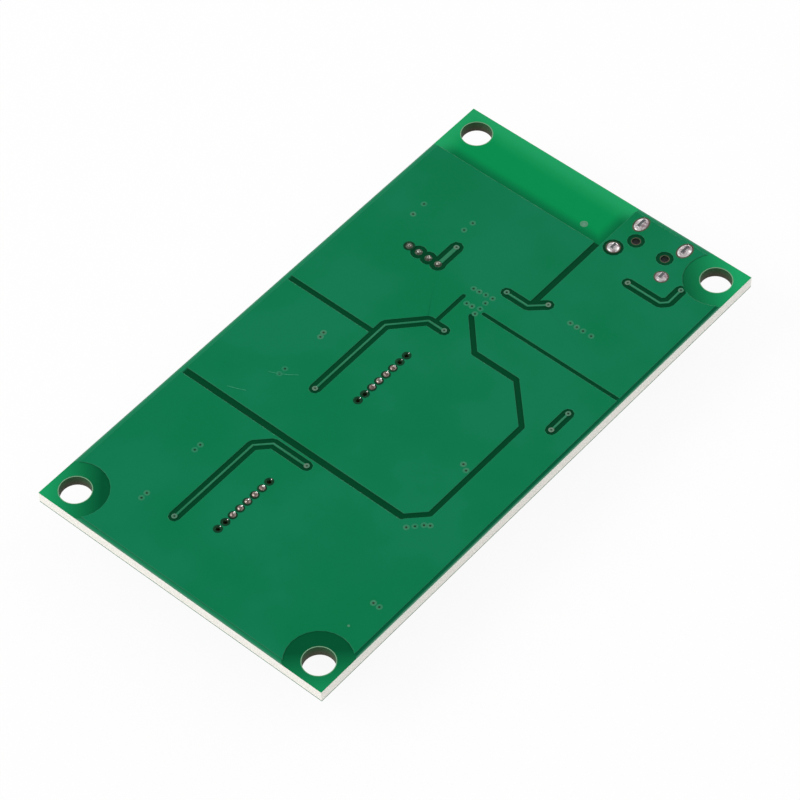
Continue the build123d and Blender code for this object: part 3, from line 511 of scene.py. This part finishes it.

# Tin solder as it set: bright where it ran freely, frosted or grey where it cooled slowly.
# The bright tin also makes the painted highlights beside the thermal vias, and the lighter
# tin on the programming beads is a painted highlight
bright_solder = set_solder("bright tin solder", "#FAFAF8", "#DAD4D2", 0.2)
frosted_solder = set_solder("frosted tin solder", "#A89890", "#74645E", 0.4, metallic=0.7)
dull_rim = set_solder("tinned rim dulled by heat", "#7A8474", "#3A3C32", 0.45, metallic=0.5)
joint_solder = set_solder("solder of the leg joints", "#ECE6E6", "#9A868C", 0.4, patch=0.6,
                          metallic=0.4)
program_solder = set_solder("tin solder under flux", "#5E6658", "#383A30", 0.45,
                            metallic=0.5)
# Lighter tin as a painted highlight on the programming beads
program_highlight_solder = set_solder("tin solder lightened as a painted highlight", "#B4B2A8", "#62685C", 0.4,
                                metallic=0.6)
tinned_pad = set_solder("tinned pad", "#D6D6D4", "#BDBBB8", 0.32)

# Stamped and plated sheet: satin, with streaks along the way that it was rolled
nickel_plate = two_tone("nickel plated steel", "#AFB2B4", "#C6C8CA", 0.5, 0.003,
                        {"Metallic": 1.0, "Roughness": 0.28}, stretch=(0.15, 1, 1))
tin_plate = two_tone("tin plated lead", "#B2B2B0", "#CFCFCD", 0.4, 0.003,
                     {"Metallic": 1.0, "Roughness": 0.35}, stretch=(0.15, 1, 1))

# Plastic and resin from spark-eroded moulds: an even fine grain all over
black_nylon = two_tone("black moulded nylon", "#101011", "#1C1C1E", 0.12, 0.008,
                       {"Roughness": 0.5, "Specular IOR Level": 0.4})
chip_resin = two_tone("black moulded epoxy resin", "#131314", "#242426", 0.08, 0.008,
                      {"Roughness": 0.6, "Specular IOR Level": 0.4})
clear_resin = two_tone("cast yellowish resin", "#E4DCA8", "#D6CC92", 0.5, 0.004,
                       {"Roughness": 0.15, "Specular IOR Level": 0.5})

# Pressed and fired bodies: grainy ferrite, smooth ceramic, and a glassy resistor film
pressed_ferrite = two_tone("pressed grey ferrite", "#2A2A2C", "#3C3C3E", 0.15, 0.015,
                           {"Roughness": 0.7, "Specular IOR Level": 0.3})
fired_ceramic = two_tone("fired tan ceramic", "#A8895E", "#8F7148", 0.2, 0.006,
                         {"Roughness": 0.45, "Specular IOR Level": 0.4})
resistor_glaze = two_tone("black glazed resistor film", "#0C0C0D", "#17171A", 0.3, 0.004,
                          {"Roughness": 0.3, "Specular IOR Level": 0.5})
white_ceramic = two_tone("fired white ceramic", "#CFC9BC", "#DDD8CC", 0.2, 0.006,
                         {"Roughness": 0.5, "Specular IOR Level": 0.4})
band_ink = two_tone("white printed ink", "#D8D4CA", "#E6E2DA", 0.15, 0.003,
                    {"Roughness": 0.55, "Specular IOR Level": 0.3})

# The finish of each node by its whole name, or else by the last word of it
finishes = {
    "laminate": laminate_cut, "ground_plane": copper_edge, "signal_traces": copper_edge,
    "component_copper": bare_copper, "printed_antenna": bare_copper,
    "component_side_mask": deep_mask, "component_pads": tinned_pad,
    "thermal_rims": dull_rim, "socket_shell": nickel_plate, "socket_insulator": black_nylon,
    "crystal_base": white_ceramic, "crystal_lid": nickel_plate, "radio_contacts": tinned_pad,
    "ceramic_bodies": fired_ceramic, "resistor_bodies": resistor_glaze,
    "light_bodies": clear_resin,
}
finishes_by_last_word = {
    "leads": tin_plate, "plates": tin_plate, "caps": tin_plate, "slug": tin_plate,
    "contacts": tin_plate, "base": black_nylon, "body": chip_resin,
}
for name, piece in nodes.items():
    finish = finishes.get(name) or finishes_by_last_word.get(name.split("_")[-1])
    if name.startswith("inductor") and name.endswith("body"):
        finish = pressed_ferrite
    if finish:
        piece.data.materials.clear()
        piece.data.materials.append(finish)


# Modelling helpers


def only(*pieces):
    """Select these pieces and nothing else, the first of them active."""
    bpy.ops.object.select_all(action="DESELECT")
    for piece in pieces:
        piece.select_set(True)
    bpy.context.view_layer.objects.active = pieces[0]


def start(primitive, **settings):
    """Add a primitive by its operator with nothing else selected, and return it."""
    bpy.ops.object.select_all(action="DESELECT")
    primitive(**settings)
    return bpy.context.object


def edit(piece, kind="VERT"):
    """Go into edit mode on one piece, with nothing of it selected."""
    only(piece)
    bpy.ops.object.mode_set(mode="EDIT")
    bpy.ops.mesh.select_mode(type=kind)
    bpy.ops.mesh.select_all(action="DESELECT")


def leave_edit():
    """Go back to object mode."""
    bpy.ops.object.mode_set(mode="OBJECT")


def pick(piece, kind, wanted):
    """In edit mode, select the vertices, edges or faces that pass a test."""
    bpy.ops.mesh.select_mode(type=kind)
    bpy.ops.mesh.select_all(action="DESELECT")
    bpy.ops.object.mode_set(mode="OBJECT")
    mesh = piece.data
    parts = {"VERT": mesh.vertices, "EDGE": mesh.edges, "FACE": mesh.polygons}[kind]
    for part in parts:
        part.select = wanted(part)
    bpy.ops.object.mode_set(mode="EDIT")


def joined(pieces):
    """Join pieces into one."""
    only(*pieces)
    bpy.ops.object.transform_apply(location=True, rotation=True, scale=True)
    if len(pieces) > 1:
        bpy.ops.object.join()
    return bpy.context.object


def keep(piece, name, slot, *materials):
    """Name a finished piece, give it its finish, and let it ride on the board."""
    only(piece)
    bpy.ops.object.transform_apply(location=True, rotation=True, scale=True)
    piece.name = name
    for material in materials:
        piece.data.materials.append(material)
    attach(piece, "root")
    return piece


def copies(model, places, vary=None):
    """One copy of a model at each place, joined into one piece; the model goes."""
    made = []
    for number, place in enumerate(places):
        twin = model.copy()
        twin.data = model.data.copy()
        bpy.context.scene.collection.objects.link(twin)
        twin.location = Vector(model.location) + Vector(place)
        if vary:
            vary(twin, number)
        made.append(twin)
    bpy.data.objects.remove(model)
    return joined(made)


def polyline(points, thickness=0.0):
    """A line through points in metres, as a mesh: thin and round if it has a thickness."""
    curve = bpy.data.curves.new("line", "CURVE")
    curve.dimensions = "3D"
    line = curve.splines.new("POLY")
    line.points.add(len(points) - 1)
    for point, place in zip(line.points, points):
        point.co = (*place, 1)
    curve.bevel_depth = thickness / 2
    curve.bevel_resolution = 1
    piece = bpy.data.objects.new("line", curve)
    bpy.context.scene.collection.objects.link(piece)
    only(piece)
    bpy.ops.object.convert(target="MESH")
    return bpy.context.object


def turned_piece(profile):
    """A piece turned round the Z axis, from its profile's radii and heights in mm."""
    piece = polyline([Vector((radius, 0, height)) * MM for radius, height in profile])
    turn = piece.modifiers.new("turn", "SCREW")
    turn.steps = turn.render_steps = 64
    turn.use_merge_vertices = True
    turn.merge_threshold = merge_distance * MM
    bpy.ops.object.modifier_apply(modifier="turn")
    edit(piece)
    bpy.ops.mesh.select_all(action="SELECT")
    bpy.ops.mesh.normals_make_consistent(inside=False)
    leave_edit()
    bpy.ops.object.shade_smooth_by_angle(angle=math.radians(35))
    return piece


def islands(name):
    """Lowest and highest corner of each separate solid of a node."""
    mesh = nodes[name].data
    corners = {}
    for vertex in mesh.vertices:
        corners.setdefault(tuple(round(c / MM, 3) for c in vertex.co), []).append(vertex.index)
    owner = {index: key for key, group in corners.items() for index in group}
    links = {key: set() for key in corners}
    for edge in mesh.edges:
        first, second = (owner[index] for index in edge.vertices)
        links[first].add(second)
        links[second].add(first)
    found = []
    left = set(links)
    while left:
        front = [left.pop()]
        group = list(front)
        while front:
            near = links[front.pop()] & left
            left -= near
            front += near
            group += near
        low = Vector([min(point[axis] for point in group) for axis in range(3)]) * MM
        high = Vector([max(point[axis] for point in group) for axis in range(3)]) * MM
        found.append((low, high))
    return sorted(found, key=lambda box: (round(box[0].x, 5), box[0].y))


def middles(name, height):
    """Middle of each separate solid of a node, at a height."""
    return [Vector(((low.x + high.x) / 2, (low.y + high.y) / 2, height))
            for low, high in islands(name)]


def on_mask(place, lift=thin_lift):
    """A point of the plan in mm, at a small lift above the mask's face."""
    return Vector((place[0] * MM, place[1] * MM, mask_face + lift * MM))


# The mask of the solder side, its edges sloping down over the edges of the copper


def mask_copies():
    """Copies of the mask's upper faces, one for each stretch of it, with no doubled points."""
    piece = bpy.data.objects.new("skin", nodes["solder_side_mask"].data.copy())
    bpy.context.scene.collection.objects.link(piece)
    piece.data.materials.clear()
    edit(piece)
    bpy.ops.mesh.select_all(action="SELECT")
    bpy.ops.mesh.customdata_custom_splitnormals_clear()
    bpy.ops.mesh.remove_doubles(threshold=merge_distance * MM)
    pick(piece, "FACE", lambda face: face.normal.z < looking_up)
    bpy.ops.mesh.delete(type="FACE")
    bpy.ops.mesh.select_all(action="SELECT")
    bpy.ops.mesh.separate(type="LOOSE")
    leave_edit()
    return list(bpy.context.selected_objects)


def sloped(piece):
    """Slope a mask's rim down, and give its finishes: face, then slope, then trace. Only
    the mask of the ground plane is longer than half the board."""
    is_plane = piece.dimensions.x > board_half.x * MM
    for material in (deep_mask, shoulder_mask, trace_mask):
        piece.data.materials.append(material)
    edit(piece, "FACE")
    bpy.ops.mesh.select_all(action="SELECT")
    bpy.ops.mesh.inset(thickness=shoulder_width * MM, use_boundary=True,
                       use_even_offset=True)
    leave_edit()
    for face in piece.data.polygons:
        face.material_index = (0 if is_plane else 2) if face.select else 1
    edit(piece, "EDGE")
    bpy.ops.mesh.select_non_manifold(extend=False, use_wire=False, use_boundary=True,
                                     use_multi_face=False, use_non_contiguous=False,
                                     use_verts=False)
    bpy.ops.transform.translate(value=(0, 0, -shoulder_drop * MM))
    leave_edit()
    return piece


skin = joined([sloped(piece) for piece in mask_copies()])
keep(skin, "solder_mask_skin", "solder_mask")
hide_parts("solder_side_mask")


def film_on_laminate():
    """A thin film over the whole board, open at every hole. It shows in the gaps."""
    film = start(bpy.ops.mesh.primitive_cube_add, size=1,
                 location=(0, 0, laminate_face + film_thickness * MM / 2))
    film.scale = (2 * laminate_high.x, 2 * laminate_high.y, film_thickness * MM)
    bpy.ops.object.transform_apply(location=True, rotation=True, scale=True)
    mounts = [(x * mount_hole.x, y * mount_hole.y) for x in (-1, 1) for y in (-1, 1)]
    vias = [tuple(place / MM)[:2] for place in middles("thermal_rims", 0)]
    drill_length = 4
    drills = []
    for places, radius, sides in ((mounts, mount_hole_radius + film_hole_margin, 64),
                                  (vias, open_drill_radius, 16),
                                  (peg_places, peg_hole_radius, 24)):
        for place in places:
            drills.append(start(bpy.ops.mesh.primitive_cylinder_add, vertices=sides,
                                radius=radius * MM, depth=drill_length * MM,
                                location=on_mask(place)))
    cutter = joined(drills)
    cut = film.modifiers.new("holes", "BOOLEAN")
    cut.object = cutter
    cut.operation = "DIFFERENCE"
    cut.solver = "EXACT"
    only(film)
    bpy.ops.object.modifier_apply(modifier="holes")
    bpy.data.objects.remove(cutter)
    return film


keep(film_on_laminate(), "mask_film_on_laminate", "solder_mask", mask_over_laminate())


# Small vias under the mask


def via_model(outer, inner, rise, ring, middle):
    """A low ring in one finish with a sunken middle in another. Its width is shared out
    over the way up, the crown and the way down."""
    via = start(bpy.ops.mesh.primitive_circle_add, vertices=20, radius=outer * MM,
                fill_type="NGON")
    edit(via, "FACE")
    bpy.ops.mesh.select_all(action="SELECT")
    for share, lift in ((0.3, rise), (0.4, 0), (0.3, -rise)):
        bpy.ops.mesh.inset(thickness=share * (outer - inner) * MM)
        bpy.ops.transform.translate(value=(0, 0, lift * MM))
    leave_edit()
    via.data.materials.append(ring)
    via.data.materials.append(middle)
    for face in via.data.polygons:
        face.material_index = 1 if face.select else 0
    bpy.ops.object.shade_smooth()
    return via


def varied(twin, number):
    """Turn and stretch a copy a little, so that no two are alike."""
    noise_step = 1.7
    turn_step = 2.4
    along, across, upward = 0.08, 0.06, 0.25
    amount = noise.noise(Vector((number * noise_step, 0.3, 0.9)))
    twin.scale = (1 + along * amount, 1 - across * amount, 1 + upward * amount)
    twin.rotation_euler.z = turn_step * number


covered_model = via_model(via_radius, via_dimple_radius, via_rise, via_ring, via_middle)
keep(copies(covered_model, map(on_mask, covered_vias), varied), "covered_vias", "solder_mask")
end_model = via_model(trace_pad_radius, via_dimple_radius, trace_pad_rise, trace_via_rim,
                      trace_via_middle)
keep(copies(end_model, map(on_mask, trace_vias), varied), "trace_end_vias", "solder_mask")

# Tin that shows through thin ink looks pale and soft
pale_via = two_tone("tinned pad under thin ink", "#3E8662", "#5A8E72", 0.6, 0.0,
                    {"Roughness": 0.4, "Specular IOR Level": 0.15})
pale_middle = two_tone("tinned pad under the thinnest ink", "#6C9C80", "#5A8C70", 0.6, 0.0,
                       {"Roughness": 0.4, "Specular IOR Level": 0.15})


def pale_spots():
    """The via seen through the antenna zone's mask, and the small pale mark."""
    film_lift = (laminate_face - mask_face) / MM + film_thickness
    spot = via_model(antenna_via_radius, antenna_via_core * antenna_via_radius,
                     antenna_via_rise, pale_via, pale_middle)
    spot.location = on_mask(antenna_via, film_lift + thin_lift)
    mark = via_model(pale_mark_radius, pale_mark_core * pale_mark_radius,
                     pale_mark_rise, pale_via, pale_via)
    mark.location = on_mask(pale_mark)
    return joined([spot, mark])


keep(pale_spots(), "pale_spots", "solder_mask")


# Solder


def dome_model(radius, height, width=None):
    """A round or oval mound of solder, its top domed. Its foot is open and goes a tenth of
    its height below its place."""
    foot_depth = 0.1 * height * MM
    dome = start(bpy.ops.mesh.primitive_uv_sphere_add, segments=24, ring_count=12, radius=1)
    dome.scale = (radius * MM, (width or radius) * MM, height * MM)
    bpy.ops.object.transform_apply(scale=True)
    edit(dome)
    pick(dome, "VERT", lambda vertex: vertex.co.z < -foot_depth)
    bpy.ops.mesh.delete(type="VERT")
    leave_edit()
    bpy.ops.object.shade_smooth()
    return dome


def ring_model(inner, outer, rise, across=1.0):
    """A flat ring with a slightly raised crown, wider along X where it is oval."""
    ring = start(bpy.ops.mesh.primitive_circle_add, vertices=32, radius=outer * MM,
                 fill_type="NGON")
    edit(ring, "FACE")
    bpy.ops.mesh.select_all(action="SELECT")
    for lift in (rise, -rise):
        bpy.ops.mesh.inset(thickness=(outer - inner) / 2 * MM)
        bpy.ops.transform.translate(value=(0, 0, lift * MM))
    bpy.ops.mesh.delete(type="FACE")
    leave_edit()
    ring.scale.x = across
    bpy.ops.object.shade_smooth()
    return ring


filled_places = middles("thermal_solder", mask_face)
open_places = middles("thermal_rims", mask_face)

# A dark ring of painted shade and dark reflection lies round each via of the thermal rows,
# and round the first of the programming contacts
shade_rings = copies(ring_model(collar_inner_radius, collar_outer_radius, collar_rise),
                 [place + Vector((0, 0, collar_lift * MM))
                  for place in filled_places + open_places])
first_shade_ring = ring_model(program_collar_inner_radius, program_collar_outer_radius,
                          collar_rise)
first_shade_ring.location = on_mask(first_program_place)
keep(joined([shade_rings, first_shade_ring]), "via_shade_rings", "solder_mask", shade_ring_ink)

thermal_beads = copies(dome_model(thermal_bead_radius, thermal_bead_height),
                       [place + Vector((thermal_bead_shift, 0, 0)) * MM
                        for place in filled_places], varied)
keep(thermal_beads, "thermal_via_beads", "solder", frosted_solder)
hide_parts("thermal_solder")

# A bright bead on one side of each bead of solder and of each open via is a painted highlight
thermal_highlights = copies(dome_model(thermal_highlight_radius, thermal_highlight_radius),
              [place + Vector((thermal_highlight_reach, 0, thermal_highlight_lift)) * MM
               for place in filled_places])
open_highlights = copies(dome_model(open_highlight_radius, open_highlight_radius),
                   [place + Vector((open_highlight_reach, 0, open_highlight_lift)) * MM
                    for place in open_places])
keep(joined([thermal_highlights, open_highlights]), "thermal_via_highlights", "solder", bright_solder)


def barrel_model():
    """The plated wall of an open via, closed by a disc lower down, both painted a reddish dark
    as the shade in the via.
    """
    barrel = start(bpy.ops.mesh.primitive_cylinder_add, vertices=16,
                   radius=(open_drill_radius - barrel_clearance) * MM,
                   depth=barrel_depth * MM)
    edit(barrel, "FACE")
    pick(barrel, "FACE", lambda face: face.normal.z > looking_up)
    bpy.ops.mesh.delete(type="FACE")
    bpy.ops.mesh.select_all(action="SELECT")
    bpy.ops.mesh.flip_normals()
    leave_edit()
    bpy.ops.object.shade_smooth()
    return barrel


barrel_lift = Vector((0, 0, -barrel_depth / 2)) * MM
keep(copies(barrel_model(), [place + barrel_lift for place in open_places]),
     "thermal_via_barrels", "copper", shaded_barrel_copper)

program_places = middles("programming_solder", copper_face)
program_box = islands("programming_solder")[0]
program_radius = (program_box[1].x - program_box[0].x) / 2 / MM
program_beads = copies(dome_model(program_bead_share * program_radius, program_bead_height),
                       program_places, varied)
keep(program_beads, "programming_beads", "solder", program_solder)
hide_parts("programming_solder")
# A lighter cap on each programming bead is a painted highlight on its top
program_highlights = copies(dome_model(program_highlight_radius, program_highlight_height),
                      [place + Vector((program_highlight_shift, 0, program_highlight_lift)) * MM
                       for place in program_places])
keep(program_highlights, "programming_highlights", "solder", program_highlight_solder)


# The joints of the socket's legs: smooth mounds round the legs


def leg_joints():
    """The filled holes as the model has them, with a smooth mound on each."""
    fills = bpy.data.objects.new("fills", nodes["socket_joints"].data.copy())
    bpy.context.scene.collection.objects.link(fills)
    fills.data.materials.clear()
    edit(fills)
    bpy.ops.mesh.select_all(action="SELECT")
    bpy.ops.mesh.remove_doubles(threshold=merge_distance * MM)
    bpy.ops.mesh.bisect(plane_co=(0, 0, copper_face + leg_fill_height * MM),
                        plane_no=(0, 0, 1), clear_outer=True)
    leave_edit()
    mounds = []
    for low, high in islands("socket_joints"):
        size = (high - low) / 2 / MM
        mound = dome_model(leg_mound_share * size.x, (high.z - copper_face) / MM,
                           leg_mound_share * size.y)
        mound.location = (*((low + high) / 2).xy, copper_face)
        mounds.append(mound)
    return joined([fills, *mounds])


joints = keep(leg_joints(), "leg_solder_mounds", "solder", joint_solder)
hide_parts("socket_joints")


def flux_rings():
    """A thin stain of dried flux round each joint of the socket, and round each peg."""
    rings = []
    for place in peg_places:
        ring = ring_model(peg_ring_inner_radius, peg_ring_outer_radius, flux_ring_rise)
        ring.location = on_mask(place, (laminate_face - mask_face) / MM + film_thickness)
        rings.append(ring)
    for low, high in islands("socket_joints"):
        size = (high - low) / 2 / MM
        ring = ring_model(size.y - flux_ring_overlap, size.y + flux_ring_width,
                          flux_ring_rise, size.x / size.y)
        ring.location = (*((low + high) / 2).xy, mask_face + thin_lift * MM)
        rings.append(ring)
    return joined(rings)


keep(flux_rings(), "flux_stains", "solder_mask", flux)


# Scratches in the mask


lines = [polyline([on_mask(place, 0) for place in points], scratch_width * MM)
         for points in scratches]
keep(joined(lines), "scratches", "solder_mask", pale_ink)


# The component side


def can_profile(radius, height):
    """The outline of a drawn can, from its free end to its foot: a rounded end, and the
    groove that is rolled in to hold the rubber plug."""
    profile = [(0, 0)]
    for step in range(can_roll_steps + 1):
        angle = math.radians(90 * step / can_roll_steps)
        profile.append((radius - can_roll * (1 - math.sin(angle)),
                        can_roll * (1 - math.cos(angle))))
    for step in range(can_groove_steps + 1):
        share = step / can_groove_steps
        dip = can_groove_depth * math.sin(math.pi * share) ** 2
        profile.append((radius - dip, height - can_groove_place
                        + (share - 0.5) * can_groove_width))
    return profile + [(radius, height - can_lip), (radius - can_lip, height), (0, height)]


for name in sorted(nodes):
    if name.endswith("_can"):
        low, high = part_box(name)
        can = turned_piece(can_profile((high.x - low.x) / 2 / MM, (high.z - low.z) / MM))
        can.location = (*((low + high) / 2).xy, low.z)
        metal = drawn_can(f"drawn aluminium of {name}", (low + high) / 2)
        keep(can, f"turned_{name}", "can_aluminium", metal)
        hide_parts(name)


def facing_down(piece):
    """Turn a low piece over, so that it stands on the component side."""
    piece.rotation_euler.x = math.pi
    return piece


# A dimple in each chip's face shows its first lead
chip_dimples = []
for name in ("amplifier_left_body", "amplifier_right_body", "memory_body", "radio_body"):
    low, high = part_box(name)
    dimple = facing_down(via_model(dimple_radius, dimple_core * dimple_radius, dimple_rise,
                                   chip_resin, black_nylon))
    dimple.location = low + Vector((dimple_inset, dimple_inset, -dimple_lift)) * MM
    chip_dimples.append(dimple)
keep(joined(chip_dimples), "first_lead_dimples", "moulded_resin")


def cathode_band():
    """The printed band at one end of the diode, a thin layer of ink."""
    low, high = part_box("diode_body")
    band = start(bpy.ops.mesh.primitive_cube_add, size=1)
    band.scale = (band_width * MM, high.y - low.y - 2 * band_side_margin * MM,
                  band_thickness * MM)
    band.location = (low.x + band_place * MM, (low.y + high.y) / 2, low.z)
    bpy.ops.object.transform_apply(location=True, rotation=True, scale=True)
    edit(band, "EDGE")
    bpy.ops.mesh.select_all(action="SELECT")
    bpy.ops.mesh.bevel(offset=band_bevel * MM, segments=2)
    leave_edit()
    return band


keep(cathode_band(), "cathode_band", "moulded_resin", band_ink)

# Solder stands round the plated ends of the small parts
pad_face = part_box("component_pads")[0].z
fillets = []
for name in sorted(nodes):
    if name.endswith(("end_caps", "_plates")):
        for low, high in islands(name):
            size = (high - low) / 2 / MM
            fillet = facing_down(dome_model(size.x + fillet_reach, fillet_height,
                                            size.y + fillet_reach))
            fillet.location = (*((low + high) / 2).xy, pad_face)
            fillets.append(fillet)
keep(joined(fillets), "component_fillets", "solder", bright_solder)


# Floor, light and camera


def seen_or_mirrored(tree):
    """One where a ray comes from the camera, off a gloss or through glass, else nought."""
    seen = add(tree, "LightPath", out="Is Camera Ray")
    for way in ("Is Glossy Ray", "Is Transmission Ray"):
        ray = add(tree, "LightPath", out=way)
        seen = add(tree, "Math", {0: seen, 1: ray}, operation="MAXIMUM")
    return seen


def studio_floor():
    """A pale floor, which shows white to the camera and keeps a soft shadow."""
    floor = start(bpy.ops.mesh.primitive_plane_add, size=floor_size)
    floor.name = "floor"
    made = bpy.data.materials.new("pale studio floor")
    tree = empty_tree(made)
    seen = seen_or_mirrored(tree)
    share = add(tree, "Math", {0: seen, 1: floor_glow}, operation="MULTIPLY")
    paint = add(tree, "BsdfDiffuse", {"Color": "#F4F4F4"})
    glow = add(tree, "Emission", {"Color": "#FFFFFF", "Strength": 1.0})
    mix = add(tree, "MixShader", {0: share, 1: paint, 2: glow})
    add(tree, "OutputMaterial", {"Surface": mix})
    floor.data.materials.append(made)


def studio_light():
    """Soft light from all round, a dim ceiling for the gloss, and large lamps."""
    world = bpy.data.worlds.new("studio")
    bpy.context.scene.world = world
    tree = empty_tree(world)
    seen = seen_or_mirrored(tree)
    direction = add(tree, "TexCoord", out="Generated")
    height = add(tree, "SeparateXYZ", {"Vector": direction}, out="Z")
    ceiling = add(tree, "MapRange", {"Value": height, "From Min": ceiling_start,
                                     "From Max": ceiling_full},
                  interpolation_type="SMOOTHSTEP")
    shown = add(tree, "Mix", {0: ceiling, 6: "#FFFFFF", 7: "#626262"}, out=2,
                data_type="RGBA")
    backdrop = add(tree, "Background", {"Color": shown, "Strength": 1.0})
    light = add(tree, "Background", {"Color": "#FFFFFF", "Strength": world_strength})
    mix = add(tree, "MixShader", {0: seen, 1: light, 2: backdrop})
    add(tree, "OutputWorld", {"Surface": mix})
    for name, place, size, power in lamps:
        lamp = bpy.data.lights.new(name, "AREA")
        lamp.size = size
        lamp.energy = power
        holder = bpy.data.objects.new(name, lamp)
        holder.location = place
        holder.rotation_euler = (-Vector(place)).to_track_quat("-Z", "Y").to_euler()
        bpy.context.scene.collection.objects.link(holder)


def photograph_camera():
    """The camera at the photograph's angle, distance and roll."""
    azimuth, elevation = math.radians(view_azimuth), math.radians(view_elevation)
    forward = Vector((math.sin(azimuth) * math.cos(elevation),
                      math.cos(azimuth) * math.cos(elevation), -math.sin(elevation)))
    lens = bpy.data.cameras.new("camera")
    lens.lens = camera_lens
    lens.sensor_width = camera_sensor
    lens.clip_start = 0.01
    camera = bpy.data.objects.new("camera", lens)
    camera.location = look_at - forward * view_distance
    turn = forward.to_track_quat("-Z", "Y").to_matrix().to_4x4()
    camera.rotation_euler = turn.to_euler()
    camera.rotation_euler.rotate_axis("Z", math.radians(-view_roll))
    bpy.context.scene.collection.objects.link(camera)
    bpy.context.scene.camera = camera


studio_floor()
studio_light()
photograph_camera()
bpy.context.scene.view_settings.view_transform = "Standard"
